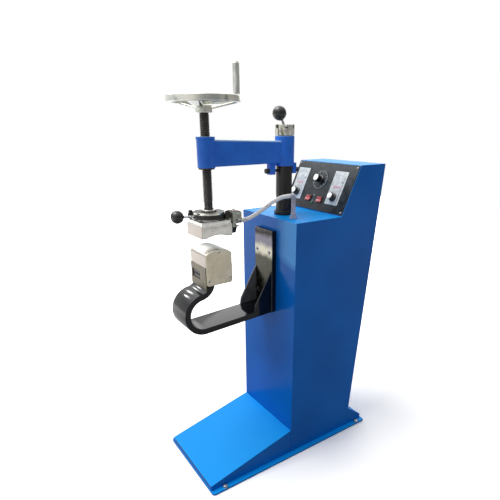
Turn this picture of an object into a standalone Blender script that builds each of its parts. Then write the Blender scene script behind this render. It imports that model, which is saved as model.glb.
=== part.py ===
"""Tire vulcanizer, a floor-standing press that cures patches on tires.

A sheet steel pedestal stands on a base plate with a sloped foot cover.
A round column rises through its deck, and a cast arm swings on that column.
The arm holds a screw spindle with a handwheel, and the upper heating plate hangs under it.
A bent steel bar, bolted to the front of the pedestal, carries the lower heating plate.
A sloped panel on top has two thermostats, a timer, two rocker switches and a lamp.

Units are metres. The front looks along -Y, and +Z is up.
The origin is on the ground, on the middle plane, below the front face of the pedestal.
"""

import math

import bmesh
import bpy
from mathutils import Matrix, Vector

# Fits shared by all pieces
SEAT_GAP = 0.0003
RUNNING_GAP = 0.0006
CUT_OVERRUN = 0.004
FINE_STEPS = 48
ROUND_STEPS = 36
SMALL_STEPS = 18
TINY_STEPS = 10
SMOOTH_ANGLE = math.radians(35)

# Base plate and its anchor bolts
BASE_WIDTH = 0.392
BASE_FRONT = 0.388
BASE_BACK = 0.430
BASE_THICKNESS = 0.008
BASE_CORNER = 0.014
ANCHOR_INSET = 0.0102
ANCHOR_FRONT = 0.329
ANCHOR_BACK = 0.383
ANCHOR_HEX = 0.016
ANCHOR_HEAD = 0.0075
ANCHOR_WASHER = 0.0194
ANCHOR_WASHER_THICKNESS = 0.002

# Pedestal cabinet
CABINET_WIDTH = 0.350
CABINET_WALL = 0.0025
CABINET_FLANGE = 0.026
DECK_HEIGHT = 1.000
DECK_DEPTH = 0.215
PANEL_RUN = 0.085
PANEL_RISE = 0.180
TOP_DEPTH = 0.130
BACK_FOOT = 0.337
WINDOW_WIDTH = 0.300
WINDOW_HEIGHT = 0.150

# Sloped foot cover and rear ledge
FOOT_REACH = 0.386
FOOT_EDGE_HEIGHT = 0.030
FOOT_HEIGHT = 0.120
LEDGE_DEPTH = 0.083
LEDGE_EDGE_HEIGHT = 0.030
LEDGE_HEIGHT = 0.095

# Rear panel
REAR_PANEL_THICKNESS = 0.002
REAR_PANEL_MARGIN = 0.006
VENT_LENGTH = 0.110
VENT_HEIGHT = 0.006
VENT_PITCH = 0.016
VENT_COUNT = 6
VENT_DROP = 0.120
COVER_SCREW_HEAD = 0.009
COVER_SCREW_HEIGHT = 0.0028
COVER_SCREW_SHANK = 0.0046
COVER_SCREW_LENGTH = 0.0062
REAR_SCREW_ROWS = 4

# Support channel inside the cabinet
CHANNEL_WIDTH = 0.170
CHANNEL_DEPTH = 0.130
CHANNEL_WALL = 0.008
CHANNEL_BOTTOM = 0.600
CHANNEL_TOP = 0.990
SHELF_HEIGHT = 0.740
SHELF_THICKNESS = 0.008

# Column, its ring on the deck and the castle nut
COLUMN_Y = 0.075
COLUMN_DIAMETER = 0.060
COLUMN_JOURNAL = 0.044
COLUMN_THREAD = 0.040
COLUMN_RING_DIAMETER = 0.072
COLUMN_RING_HEIGHT = 0.015
NUT_DIAMETER = 0.070
NUT_BODY_HEIGHT = 0.022
NUT_CROWN_HEIGHT = 0.0155
NUT_CROWN_BORE = 0.048
NUT_SLOT_WIDTH = 0.011
NUT_SLOT_COUNT = 6
NUT_CHAMFER = 0.003

# Clamp lever on top of the column
CLAMP_PIN_DIAMETER = 0.012
CLAMP_PIN_LENGTH = 0.022
CLAMP_HUB_DIAMETER = 0.030
CLAMP_HUB_HEIGHT = 0.010
CLAMP_ROD_DIAMETER = 0.009
CLAMP_BALL_DIAMETER = 0.050
CLAMP_BALL_FORWARD = 0.025
CLAMP_BALL_HEIGHT = 1.358
BALL_BORE_DEPTH = 0.018

# Swing arm
ARM_REACH = 0.323
ARM_WIDTH = 0.042
ARM_BOTTOM = 1.190
ARM_FRONT_TOP = 1.276
ARM_REAR_TOP = 1.267
ARM_EDGE = 0.005
FRONT_BOSS_DIAMETER = 0.060
FRONT_BOSS_BOTTOM = 1.1875
FRONT_BOSS_TOP = 1.285
FRONT_COLLAR_DIAMETER = 0.063
FRONT_COLLAR_HEIGHT = 0.009
REAR_BOSS_DIAMETER = 0.072
REAR_BOSS_BOTTOM = 1.179
REAR_BOSS_TOP = 1.283
BUSH_WALL = 0.004
BUSH_FLANGE_DIAMETER = 0.060
BUSH_FLANGE_THICKNESS = 0.003

# Stop bolts that stand in two lugs under the rear boss
LUG_WIDTH = 0.024
LUG_BOTTOM = 1.150
FRONT_LUG_THICKNESS = 0.0245
FRONT_LUG_CLEARANCE = 0.017
REAR_LUG_THICKNESS = 0.019
REAR_LUG_CLEARANCE = 0.0005
LUG_OVERLAP = 0.010
STOP_BOLT_HEIGHT = 1.1635
STOP_BOLT_SHANK = 0.010
STOP_BOLT_HEX = 0.017
STOP_BOLT_HEAD = 0.013
STOP_BOLT_TIP_GAP = 0.0006

# Spindle and its nut
SPINDLE_DIAMETER = 0.032
SPINDLE_NUT_DIAMETER = 0.044
SPINDLE_NUT_FLANGE = 0.054
SPINDLE_NUT_FLANGE_THICKNESS = 0.004
WHEEL_JOURNAL = 0.024
TOP_THREAD = 0.018
TIP_JOURNAL = 0.018
TIP_BUTTON_DIAMETER = 0.026
TIP_BUTTON_HEIGHT = 0.004
TIP_BUTTON_CLEARANCE = 0.0024

# Handwheel
WHEEL_DIAMETER = 0.236
WHEEL_RIM_BOTTOM = 1.385
WHEEL_RIM_HEIGHT = 0.021
WHEEL_RIM_WIDTH = 0.017
WHEEL_RIM_CHAMFER = 0.004
HUB_DIAMETER = 0.054
HUB_BOTTOM = 1.355
HUB_HEIGHT = 0.024
SPOKE_COUNT = 3
SPOKE_ANGLE = math.radians(-44)
SPOKE_THICKNESS = 0.007
SPOKE_INNER_WIDTH = 0.028
SPOKE_OUTER_WIDTH = 0.040
SPOKE_FOOT_RISE = 0.012
HUB_NUT_HEX = 0.030
HUB_NUT_HEIGHT = 0.012

# Grip on the handwheel
GRIP_DIAMETER = 0.022
GRIP_NECK_DIAMETER = 0.018
GRIP_LENGTH = 0.0935
GRIP_NECK_LENGTH = 0.008
GRIP_PIN_DIAMETER = 0.008
GRIP_PIN_HEAD_DIAMETER = 0.017
GRIP_PIN_HEAD_HEIGHT = 0.005
GRIP_PIN_DEPTH = 0.014

# Press head under the spindle
UPPER_BLOCK_LENGTH = 0.115
UPPER_BLOCK_DEPTH = 0.119
UPPER_BLOCK_TOP = 1.0053
UPPER_BLOCK_BOTTOM = 0.963
UPPER_HOLLOW = 0.008
HEAD_PLATE_LENGTH = 0.108
HEAD_PLATE_DEPTH = 0.112
HEAD_PLATE_THICKNESS = 0.0115
HEAD_SPACER_DIAMETER = 0.088
HEAD_SPACER_HEIGHT = 0.005
RING_DIAMETER = 0.112
RING_HEIGHT = 0.0147
RING_BORE = 0.0446
EAR_RADIUS = 0.0105
EAR_CIRCLE = 0.0645
EAR_ANGLE = math.radians(50)
DISC_DIAMETER = 0.109
DISC_THICKNESS = 0.0074
COLLAR_DIAMETER = 0.056
COLLAR_HEIGHT = 0.007
BEARING_HEIGHT = 0.010
DISC_BOLT_SHANK = 0.008
DISC_BOLT_HEX = 0.014
DISC_BOLT_HEAD = 0.010

# Head lever
HEAD_ROD_DIAMETER = 0.008
HEAD_ROD_DEPTH = 0.010
HEAD_BALL_DIAMETER = 0.045
HEAD_BALL_FORWARD = 0.118
HEAD_BALL_HEIGHT = 1.037

# Heating elements
ELEMENT_DIAMETER = 0.012
ELEMENT_LENGTH = 0.096
ELEMENT_SPREAD = 0.060
UPPER_ELEMENT_HEIGHT = 0.988
LOWER_ELEMENT_HEIGHT = 0.884
SENSOR_DIAMETER = 0.007
SENSOR_LENGTH = 0.055
ELEMENT_BAR_HEIGHT = 0.008
ELEMENT_BAR_THICKNESS = 0.005

# Terminal box, gland and boot behind the head
BOX_CENTRE_X = 0.030
BOX_WIDTH = 0.050
BOX_CLEARANCE = 0.0035
BOX_WALL_DEPTH = 0.013
BOX_DEPTH = 0.037
BOX_BOTTOM = 1.0163
BOX_TOP = 1.041
BOX_LIP_HEIGHT = 0.990
BOX_LIP_THICKNESS = 0.003
BOX_LIP_DEPTH = 0.028
BOX_TONGUE_THICKNESS = 0.003
BOX_TONGUE_REACH = 0.017
GLAND_HEIGHT = 1.005
GLAND_DIAMETER = 0.021
GLAND_HEX_LENGTH = 0.012
GLAND_BORE = 0.010
BOOT_TOP_WIDTH = 0.026
BOOT_BOTTOM_WIDTH = 0.017
BOOT_HEIGHT = 0.024

# Hose from the deck to the head
HOSE_DIAMETER = 0.015
HOSE_RUN_LENGTH = 0.0915
HOSE_STUB = 0.005
HOSE_SAMPLE_STEPS = 24
HOSE_POINT_DIAMETERS = 2
SLEEVE_START_DIAMETER = 0.0195
SLEEVE_END_DIAMETER = 0.0165
RISER_X = 0.095
RISER_Y = 0.048
RISER_DIAMETER = 0.016
RISER_BEND_RADIUS = 0.013
RISER_BEND_STEPS = 6
RISER_DEPTH = 0.030
DECK_GLAND_DIAMETER = 0.024
DECK_GLAND_HEIGHT = 0.020
DECK_GLAND_HEX_HEIGHT = 0.009
MAINS_GLAND_BORE = 0.008
MAINS_GLAND_X = 0.090
MAINS_GLAND_RISE = 0.070

# Route of the hose, from the gland on the head to the elbow of the riser
HOSE_ROUTE = [
    (0.0300, -0.1410, 1.0050),
    (0.0300, -0.1310, 1.0050),
    (0.0310, -0.1200, 1.0057),
    (0.0362, -0.1040, 1.0106),
    (0.0467, -0.0805, 1.0248),
    (0.0605, -0.0546, 1.0446),
    (0.0751, -0.0285, 1.0654),
    (0.0879, -0.0019, 1.0797),
    (0.0930, 0.0105, 1.0822),
    (0.0949, 0.0210, 1.0830),
    (0.0950, 0.0300, 1.0830),
]

# Mount plate on the front of the pedestal
MOUNT_WIDTH = 0.115
MOUNT_THICKNESS = 0.020
MOUNT_BOTTOM = 0.627
MOUNT_TOP = 0.953
MOUNT_EDGE = 0.0015
MOUNT_BOLT_SPREAD = 0.080
MOUNT_BOLT_UPPER = 0.868
MOUNT_BOLT_LOWER = 0.700
MOUNT_BOLT_SHANK = 0.012
MOUNT_BOLT_HEAD = 0.018
MOUNT_BOLT_HEAD_HEIGHT = 0.012
MOUNT_BOLT_SOCKET = 0.010
MOUNT_BOLT_SOCKET_DEPTH = 0.006
MOUNT_BOLT_RECESS = 0.013
MOUNT_NUT_HEX = 0.019
MOUNT_NUT_HEIGHT = 0.010
MOUNT_THREAD_SHOW = 0.004

# Gussets between the mount plate and the lower arm
GUSSET_THICKNESS = 0.0075
GUSSET_TOP = 0.798
GUSSET_REACH = 0.074
GUSSET_NOSE_REACH = 0.078
GUSSET_FOOT_HEIGHT = 0.672

# Lower arm, a flat bar bent to the shape of a J
BAR_THICKNESS = 0.022
BAR_ROOT_HEIGHT = 0.639
BAR_SLOPE = math.radians(3)
BAR_HOOK_Y = -0.310
BAR_HOOK_RADIUS = 0.067
BAR_NECK_RADIUS = 0.050
BAR_NECK_ANGLE = math.radians(98)
BAR_WIDTH = 0.113
BAR_ARC_STEP = math.radians(11)
BAR_EDGE = 0.0015

# Lower heating plate and its covers
LOWER_BLOCK_LENGTH = 0.114
LOWER_BLOCK_DEPTH = 0.104
LOWER_BLOCK_BOTTOM = 0.862
LOWER_BLOCK_TOP = 0.921
LOWER_CROWN_RADIUS = 0.100
LOWER_CROWN_STEPS = 8
LOWER_SHOULDER_RADIUS = 0.010
LOWER_SHOULDER_STEPS = 4
LOWER_EDGE = 0.003
END_COVER_THICKNESS = 0.003
END_COVER_BOTTOM = 0.794
END_COVER_CORNER = 0.010
END_COVER_CORNER_STEPS = 4
END_COVER_INSET = 0.001
SKIRT_THICKNESS = 0.003
SKIRT_STANDOFF = 0.0015
SKIRT_TAB = 0.010
REAR_SKIRT_RISE = 0.004
WINDOW_LEFT = -0.047
WINDOW_RIGHT = 0.013
WINDOW_BOTTOM = 0.809
WINDOW_TOP = 0.840
TERMINAL_DEPTH = 0.010
TERMINAL_MARGIN = 0.008
CROWN_SCREW_DROP = 0.009
CORNER_SCREW_INSET = 0.009
CORNER_SCREW_RISE = 0.019

# Control panel
PANEL_THICKNESS = 0.003
PANEL_SIDE_MARGIN = 0.002
PANEL_LOW_MARGIN = 0.003
PANEL_HIGH_MARGIN = 0.003
LABEL_THICKNESS = 0.001
LABEL_WIDTH = 0.070
LABEL_BOTTOM = 0.035
LABEL_TOP = 0.167
LEFT_LABEL_X = -0.1235
RIGHT_LABEL_X = 0.097
KNOB_RISE = 0.064
DIAL_DIAMETER = 0.080
DIAL_BORE = 0.012
TIMER_X = -0.008
TIMER_RISE = 0.125
KNOB_DIAMETER = 0.034
KNOB_TOP_DIAMETER = 0.027
KNOB_HEIGHT = 0.021
TIMER_KNOB_DIAMETER = 0.038
TIMER_KNOB_TOP_DIAMETER = 0.028
TIMER_KNOB_HEIGHT = 0.027
KNOB_SKIRT_HEIGHT = 0.004
KNOB_EDGE = 0.002
KNOB_BORE_DEPTH = 0.012
KNOB_POINTER_WIDTH = 0.002
SHAFT_DIAMETER = 0.006
SHAFT_REACH = 0.010
BODY_WIDTH = 0.036
BODY_DEPTH = 0.022
TIMER_BODY_WIDTH = 0.052
TIMER_BODY_DEPTH = 0.034
ROCKER_RISE = 0.045
LEFT_ROCKER_X = -0.038
RIGHT_ROCKER_X = 0.028
BEZEL_WIDTH = 0.034
BEZEL_HEIGHT = 0.030
BEZEL_THICKNESS = 0.002
BEZEL_FRAME = 0.003
CUP_WALL = 0.0015
CUP_DEPTH = 0.020
ROCKER_CLEARANCE = 0.0014
ROCKER_CROWN = 0.005
ROCKER_PIVOT_DEPTH = 0.004
ROCKER_SINK = 0.004
ROCKER_PIN_DIAMETER = 0.003
ROCKER_TILT = math.radians(7)
ROCKER_VALLEY = 0.0025
LAMP_X = -0.012
LAMP_RISE = 0.029
LAMP_DIAMETER = 0.010
LAMP_HEIGHT = 0.004
LAMP_BODY_DIAMETER = 0.008
LAMP_BODY_LENGTH = 0.016
PANEL_SCREW_INSET = 0.009

# Places and sizes that follow from the ones above
CABINET_FLOOR = BASE_THICKNESS + SEAT_GAP
TOP_HEIGHT = DECK_HEIGHT + PANEL_RISE
TOP_BACK = DECK_DEPTH + PANEL_RUN + TOP_DEPTH
PANEL_LENGTH = math.hypot(PANEL_RUN, PANEL_RISE)
PANEL_ANGLE = math.atan2(PANEL_RISE, PANEL_RUN)
BACK_LEAN = math.atan2(TOP_BACK - BACK_FOOT, TOP_HEIGHT - LEDGE_HEIGHT)
BACK_LENGTH = math.hypot(TOP_BACK - BACK_FOOT, TOP_HEIGHT - LEDGE_HEIGHT)
NUT_BASE = REAR_BOSS_TOP + RUNNING_GAP
COLUMN_TOP = NUT_BASE + NUT_BODY_HEIGHT
CLAMP_HUB_BASE = COLUMN_TOP + SEAT_GAP
SHOULDER_HEIGHT = REAR_BOSS_BOTTOM - BUSH_FLANGE_THICKNESS - 2 * SEAT_GAP
SHELF_TOP = SHELF_HEIGHT + SHELF_THICKNESS
CHANNEL_Y = CABINET_WALL + SEAT_GAP
BUSH_BORE = COLUMN_JOURNAL + 2 * RUNNING_GAP
BUSH_DIAMETER = BUSH_BORE + 2 * BUSH_WALL
HUB_TOP = HUB_BOTTOM + HUB_HEIGHT
RIM_TOP = WHEEL_RIM_BOTTOM + WHEEL_RIM_HEIGHT
RIM_MEAN_RADIUS = (WHEEL_DIAMETER - WHEEL_RIM_WIDTH) / 2
GRIP_ANGLE = SPOKE_ANGLE + 2 * math.pi / SPOKE_COUNT
HEAD_PLATE_BOTTOM = UPPER_BLOCK_TOP + SEAT_GAP
HEAD_PLATE_TOP = HEAD_PLATE_BOTTOM + HEAD_PLATE_THICKNESS
SPACER_TOP = HEAD_PLATE_TOP + HEAD_SPACER_HEIGHT
RING_BOTTOM = SPACER_TOP + SEAT_GAP
RING_TOP = RING_BOTTOM + RING_HEIGHT
DISC_BOTTOM = RING_TOP + SEAT_GAP
DISC_TOP = DISC_BOTTOM + DISC_THICKNESS
COLLAR_BOTTOM = DISC_TOP + SEAT_GAP
COLLAR_TOP = COLLAR_BOTTOM + COLLAR_HEIGHT
BEARING_BOTTOM = RING_BOTTOM
BEARING_TOP = BEARING_BOTTOM + BEARING_HEIGHT
SPINDLE_SHOULDER = BEARING_TOP + SEAT_GAP
BUTTON_BOTTOM = HEAD_PLATE_BOTTOM + TIP_BUTTON_CLEARANCE
BUTTON_TOP = BUTTON_BOTTOM + TIP_BUTTON_HEIGHT
BOX_FRONT = UPPER_BLOCK_DEPTH / 2 + BOX_CLEARANCE
LOWER_BLOCK_Y = COLUMN_Y - ARM_REACH
BAR_HALF = BAR_THICKNESS / 2
BAR_END_HEIGHT = LOWER_BLOCK_BOTTOM - SEAT_GAP


def clear_scene():
    """Remove the objects that the open file holds."""
    for old in list(bpy.data.objects):
        bpy.data.objects.remove(old, do_unlink=True)


def new_collection(name):
    collection = bpy.data.collections.new(name)
    bpy.context.scene.collection.children.link(collection)
    return collection


clear_scene()
PARTS = new_collection("tire_vulcanizer")
CUTTERS = new_collection("cutters")


def new_material(name, colour, roughness, metallic=0.0):
    """A Principled material with one colour, given as linear RGB shares."""
    material = bpy.data.materials.new(name)
    material.use_nodes = True
    shader = material.node_tree.nodes["Principled BSDF"]
    shader.inputs["Base Color"].default_value = (*colour, 1.0)
    shader.inputs["Roughness"].default_value = roughness
    shader.inputs["Metallic"].default_value = metallic
    return material


BLUE_PAINT = ((0.012, 0.085, 0.42), 0.25, 0.0)
BLACK_PAINT = ((0.012, 0.012, 0.014), 0.2, 0.0)
BLACK_OXIDE = ((0.02, 0.02, 0.022), 0.45, 0.7)
POLISHED = ((0.75, 0.75, 0.74), 0.18, 1.0)
ALUMINIUM = ((0.78, 0.78, 0.77), 0.3, 1.0)
STEEL = ((0.55, 0.55, 0.56), 0.32, 1.0)
ZINC = ((0.62, 0.63, 0.6), 0.35, 1.0)
COVER_STEEL = ((0.5, 0.45, 0.36), 0.4, 1.0)
BRONZE = ((0.62, 0.4, 0.16), 0.35, 1.0)
BLACK_PLASTIC = ((0.015, 0.015, 0.016), 0.3, 0.0)
WHITE_PLASTIC = ((0.8, 0.8, 0.79), 0.35, 0.0)
GREY_PLASTIC = ((0.5, 0.5, 0.52), 0.4, 0.0)
RED_PLASTIC = ((0.62, 0.02, 0.03), 0.25, 0.0)
GREEN_LENS = ((0.02, 0.45, 0.12), 0.15, 0.0)
BLACK_RUBBER = ((0.02, 0.02, 0.02), 0.6, 0.0)


def finish(obj, look):
    """Give an object its own material, named after it."""
    obj.data.materials.clear()
    obj.data.materials.append(new_material(obj.name, *look))
    return obj


def place(obj, location=(0, 0, 0), rotation=(0, 0, 0), parent=None):
    obj.location = location
    obj.rotation_euler = rotation
    obj.parent = parent
    return obj


def new_object(name, data):
    obj = bpy.data.objects.new(name, data)
    PARTS.objects.link(obj)
    return obj


def new_empty(name, location=(0, 0, 0), rotation=(0, 0, 0), parent=None):
    return place(new_object(name, None), location, rotation, parent)


def mesh_object(name, bm):
    """An object from a bmesh, which is freed. Flat to the angle, smooth past it."""
    mesh = bpy.data.meshes.new(name)
    bm.to_mesh(mesh)
    bm.free()
    mesh.shade_smooth()
    mesh.set_sharp_from_angle(angle=SMOOTH_ANGLE)
    return new_object(name, mesh)


def box(name, size, centre=(0, 0, 0)):
    """A block of the given size, with its middle at centre in its own frame."""
    bm = bmesh.new()
    matrix = Matrix.Translation(centre) @ Matrix.Diagonal((*size, 1))
    bmesh.ops.create_cube(bm, size=1, matrix=matrix)
    return mesh_object(name, bm)


def span_box(name, low, high):
    """A block between two corners."""
    size = [b - a for a, b in zip(low, high)]
    centre = [(a + b) / 2 for a, b in zip(low, high)]
    return box(name, size, centre)


def rod(name, diameter, bottom, top, steps=SMALL_STEPS):
    """A cylinder along Z from bottom to top."""
    bm = bmesh.new()
    matrix = Matrix.Translation((0, 0, (bottom + top) / 2))
    bmesh.ops.create_cone(bm, cap_ends=True, segments=steps, radius1=diameter / 2,
                          radius2=diameter / 2, depth=top - bottom, matrix=matrix)
    return mesh_object(name, bm)


def hexagon(name, across_flats, bottom, top):
    """A hexagonal prism along Z."""
    return rod(name, across_flats / math.cos(math.pi / 6), bottom, top, steps=6)


def frustum(name, bottom_width, top_width, bottom, top):
    """A square prism that tapers along Z."""
    bm = bmesh.new()
    corner = math.sqrt(2) / 2
    matrix = Matrix.Translation((0, 0, (bottom + top) / 2)) @ Matrix.Rotation(math.pi / 4, 4, "Z")
    bmesh.ops.create_cone(bm, cap_ends=True, segments=4, radius1=bottom_width * corner,
                          radius2=top_width * corner, depth=top - bottom, matrix=matrix)
    return mesh_object(name, bm)


def turned(name, profile, steps=ROUND_STEPS):
    """A turned solid about Z.

    The profile lists radius and height, down the outer side from top to bottom.
    One that starts and ends on the axis stays open there, and any other is closed.
    """
    count = len(profile)
    on_axis = profile[0][0] == 0 and profile[-1][0] == 0
    edges = [(i, i + 1) for i in range(count - 1)]
    if not on_axis:
        edges.append((count - 1, 0))
    mesh = bpy.data.meshes.new(name)
    mesh.from_pydata([(radius, 0, height) for radius, height in profile], edges, [])
    obj = new_object(name, mesh)
    screw = obj.modifiers.new("Turn", "SCREW")
    screw.steps = steps
    screw.render_steps = steps
    screw.use_merge_vertices = True
    screw.merge_threshold = 0.00001
    return obj


def ring(name, bore, diameter, bottom, top, steps=ROUND_STEPS):
    """A plain turned ring."""
    inner = bore / 2
    outer = diameter / 2
    profile = [(inner, top), (outer, top), (outer, bottom), (inner, bottom)]
    return turned(name, profile, steps)


def mesh_from(obj):
    """The evaluated mesh of an object with its small doubles merged. The object is removed."""
    bpy.context.view_layer.update()
    evaluated = obj.evaluated_get(bpy.context.evaluated_depsgraph_get())
    mesh = bpy.data.meshes.new_from_object(evaluated)
    bm = bmesh.new()
    bm.from_mesh(mesh)
    bmesh.ops.remove_doubles(bm, verts=bm.verts, dist=0.000001)
    bm.to_mesh(mesh)
    bm.free()
    bpy.data.objects.remove(obj, do_unlink=True)
    return mesh


def solid_from_curve(obj):
    """A mesh object in the place of a curve object."""
    name = obj.name
    bpy.context.view_layer.update()
    matrix = obj.matrix_world.copy()
    mesh = mesh_from(obj)
    mesh.set_sharp_from_angle(angle=SMOOTH_ANGLE)
    solid = new_object(name, mesh)
    solid.matrix_world = matrix
    return solid


def plate(name, outline, thickness):
    """A flat plate with the outline in its XY plane and its middle at height zero."""
    curve = bpy.data.curves.new(name, "CURVE")
    curve.dimensions = "2D"
    curve.fill_mode = "BOTH"
    curve.extrude = thickness / 2
    spline = curve.splines.new("POLY")
    spline.points.add(len(outline) - 1)
    for point, (x, y) in zip(spline.points, outline):
        point.co = (x, y, 0, 1)
    spline.use_cyclic_u = True
    return solid_from_curve(new_object(name, curve))


SIDE_VIEW = (math.pi / 2, 0, math.pi / 2)


def side_plate(name, outline, thickness, x=0, parent=None):
    """A plate whose outline is given in Y and Z, with its middle at x."""
    return place(plate(name, outline, thickness), (x, 0, 0), SIDE_VIEW, parent)


def tube(name, points, diameter, radii=None, resolution=3):
    """A round tube along points, with filled ends."""
    curve = bpy.data.curves.new(name, "CURVE")
    curve.dimensions = "3D"
    curve.bevel_depth = diameter / 2
    curve.bevel_resolution = resolution
    curve.use_fill_caps = True
    spline = curve.splines.new("POLY")
    spline.points.add(len(points) - 1)
    for index, point in enumerate(points):
        spline.points[index].co = (*point, 1)
        if radii:
            spline.points[index].radius = radii[index]
    return solid_from_curve(new_object(name, curve))


def add_bevel(obj, width, segments=1):
    bevel = obj.modifiers.new("Edge", "BEVEL")
    bevel.width = width
    bevel.segments = segments
    bevel.limit_method = "ANGLE"
    bevel.angle_limit = SMOOTH_ANGLE
    return obj


def use_tool(target, tool, operation):
    """Join or cut a target by a tool, which stays hidden in the cutters."""
    PARTS.objects.unlink(tool)
    CUTTERS.objects.link(tool)
    tool.hide_render = True
    tool.display_type = "WIRE"
    boolean = target.modifiers.new(tool.name, "BOOLEAN")
    boolean.operation = operation
    boolean.object = tool
    return target


def cut(target, *tools):
    for tool in tools:
        use_tool(target, tool, "DIFFERENCE")
    return target


def join(target, *tools):
    for tool in tools:
        use_tool(target, tool, "UNION")
    return target


def hex_bolt(name, hex_width, head, shank, length):
    """A hex bolt with its seat at height zero and its shank below."""
    radius = shank / 2
    bolt = turned(name, [(0, head / 2), (radius, head / 2), (radius, -length), (0, -length)],
                  SMALL_STEPS)
    hexagonal = add_bevel(hexagon(name + "_head", hex_width, 0, head), head / 8)
    return join(bolt, place(hexagonal, parent=bolt))


def pan_screw(name):
    """A pan head screw with a round recess, its head sunk by a seat gap into what it holds."""
    head = COVER_SCREW_HEAD
    height = COVER_SCREW_HEIGHT
    shank = COVER_SCREW_SHANK / 2
    recess = head / 6
    profile = [
        (0, height / 2), (recess, height / 2), (recess, height),
        (head * 0.35, height), (head / 2, height * 0.4), (head / 2, -SEAT_GAP),
        (shank, -SEAT_GAP), (shank, -COVER_SCREW_LENGTH), (0, -COVER_SCREW_LENGTH),
    ]
    return turned(name, profile, TINY_STEPS)


def folded_shell(name, outline, width, wall, openings, flanged=None, flange=0):
    """A sheet metal shell folded round an outline in Y and Z.

    It closes at both sides. The faces that look along one of the openings are left out,
    and the one that looks along flanged keeps a frame of the flange's width.
    """
    bm = bmesh.new()
    first = [bm.verts.new((-width / 2, y, z)) for y, z in outline]
    grown = bmesh.ops.extrude_face_region(bm, geom=[bm.faces.new(first)])
    moved = [item for item in grown["geom"] if isinstance(item, bmesh.types.BMVert)]
    bmesh.ops.translate(bm, verts=moved, vec=(width, 0, 0))
    bmesh.ops.recalc_face_normals(bm, faces=bm.faces)
    bm.normal_update()
    closed_share = 0.999
    if flanged is not None:
        backs = [face for face in bm.faces if face.normal.dot(flanged) > closed_share]
        bmesh.ops.inset_region(bm, faces=backs, thickness=flange, use_even_offset=True)
        bmesh.ops.delete(bm, geom=backs, context="FACES")
    for direction in openings:
        gone = [face for face in bm.faces if face.normal.dot(Vector(direction)) > closed_share]
        bmesh.ops.delete(bm, geom=gone, context="FACES")
    obj = mesh_object(name, bm)
    solidify = obj.modifiers.new("Wall", "SOLIDIFY")
    solidify.thickness = wall
    solidify.offset = -1
    solidify.use_even_offset = True
    return obj


def arc(centre, radius, start, end, steps):
    """Points on an arc, both ends included."""
    span = end - start
    return [
        (
            centre[0] + radius * math.cos(start + span * i / steps),
            centre[1] + radius * math.sin(start + span * i / steps),
        )
        for i in range(steps + 1)
    ]


def rounded_rectangle(low, high, radius, steps=END_COVER_CORNER_STEPS):
    """The outline of a rectangle with round corners, counterclockwise."""
    quarter = math.pi / 2
    corners = [
        (high[0] - radius, low[1] + radius), (high[0] - radius, high[1] - radius),
        (low[0] + radius, high[1] - radius), (low[0] + radius, low[1] + radius),
    ]
    points = []
    for index, corner in enumerate(corners):
        points += arc(corner, radius, quarter * (index - 1), quarter * index, steps)
    return points


# Pedestal

def back_y(height):
    """Y of the leaning back of the cabinet at a height."""
    return BACK_FOOT + (height - LEDGE_HEIGHT) * math.tan(BACK_LEAN)


BACK_NORMAL = Vector((0, math.cos(BACK_LEAN), -math.sin(BACK_LEAN)))


def anchor_places():
    side = BASE_WIDTH / 2 - ANCHOR_INSET
    return [(x, y) for x in (-side, side) for y in (-ANCHOR_FRONT, ANCHOR_BACK)]


def build_base_plate():
    """The plate that the pedestal stands on, with four washers and bolt heads fused to it."""
    outline = rounded_rectangle((-BASE_WIDTH / 2, -BASE_FRONT), (BASE_WIDTH / 2, BASE_BACK),
                                BASE_CORNER)
    base = place(plate("base_plate", outline, BASE_THICKNESS), (0, 0, BASE_THICKNESS / 2))
    top = BASE_THICKNESS / 2
    washer_top = top + ANCHOR_WASHER_THICKNESS
    for index, (x, y) in enumerate(anchor_places()):
        washer = rod(f"anchor_washer_{index}", ANCHOR_WASHER, 0, washer_top)
        head = hexagon(f"anchor_head_{index}", ANCHOR_HEX, 0, washer_top + ANCHOR_HEAD)
        add_bevel(head, ANCHOR_HEAD / 8)
        join(base, place(washer, (x, y, 0), parent=base), place(head, (x, y, 0), parent=base))
    finish(base, BLUE_PAINT)


def build_cabinet():
    outline = [
        (0, CABINET_FLOOR), (0, DECK_HEIGHT), (DECK_DEPTH, DECK_HEIGHT),
        (DECK_DEPTH + PANEL_RUN, TOP_HEIGHT), (TOP_BACK, TOP_HEIGHT),
        (back_y(CABINET_FLOOR), CABINET_FLOOR),
    ]
    cabinet = folded_shell("cabinet_shell", outline, CABINET_WIDTH, CABINET_WALL,
                           [(0, 0, -1)], BACK_NORMAL, CABINET_FLANGE)
    window = box("panel_window", (WINDOW_WIDTH, WINDOW_HEIGHT, 2 * CABINET_WALL + CUT_OVERRUN))
    place(window, (0, PANEL_LENGTH / 2, 0), parent=PANEL_FRAME)
    column_hole = rod("column_hole", COLUMN_DIAMETER + 2 * RUNNING_GAP,
                      DECK_HEIGHT - CABINET_WALL - CUT_OVERRUN, DECK_HEIGHT + CUT_OVERRUN,
                      ROUND_STEPS)
    riser_hole = rod("riser_hole", RISER_DIAMETER + 2 * RUNNING_GAP,
                     DECK_HEIGHT - CABINET_WALL - CUT_OVERRUN, DECK_HEIGHT + CUT_OVERRUN)
    cut(cabinet, window, place(column_hole, (0, COLUMN_Y, 0)),
        place(riser_hole, (RISER_X, RISER_Y, 0)), *mount_bolt_holes("cabinet_bolt_hole"))
    finish(cabinet, BLUE_PAINT)


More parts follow.
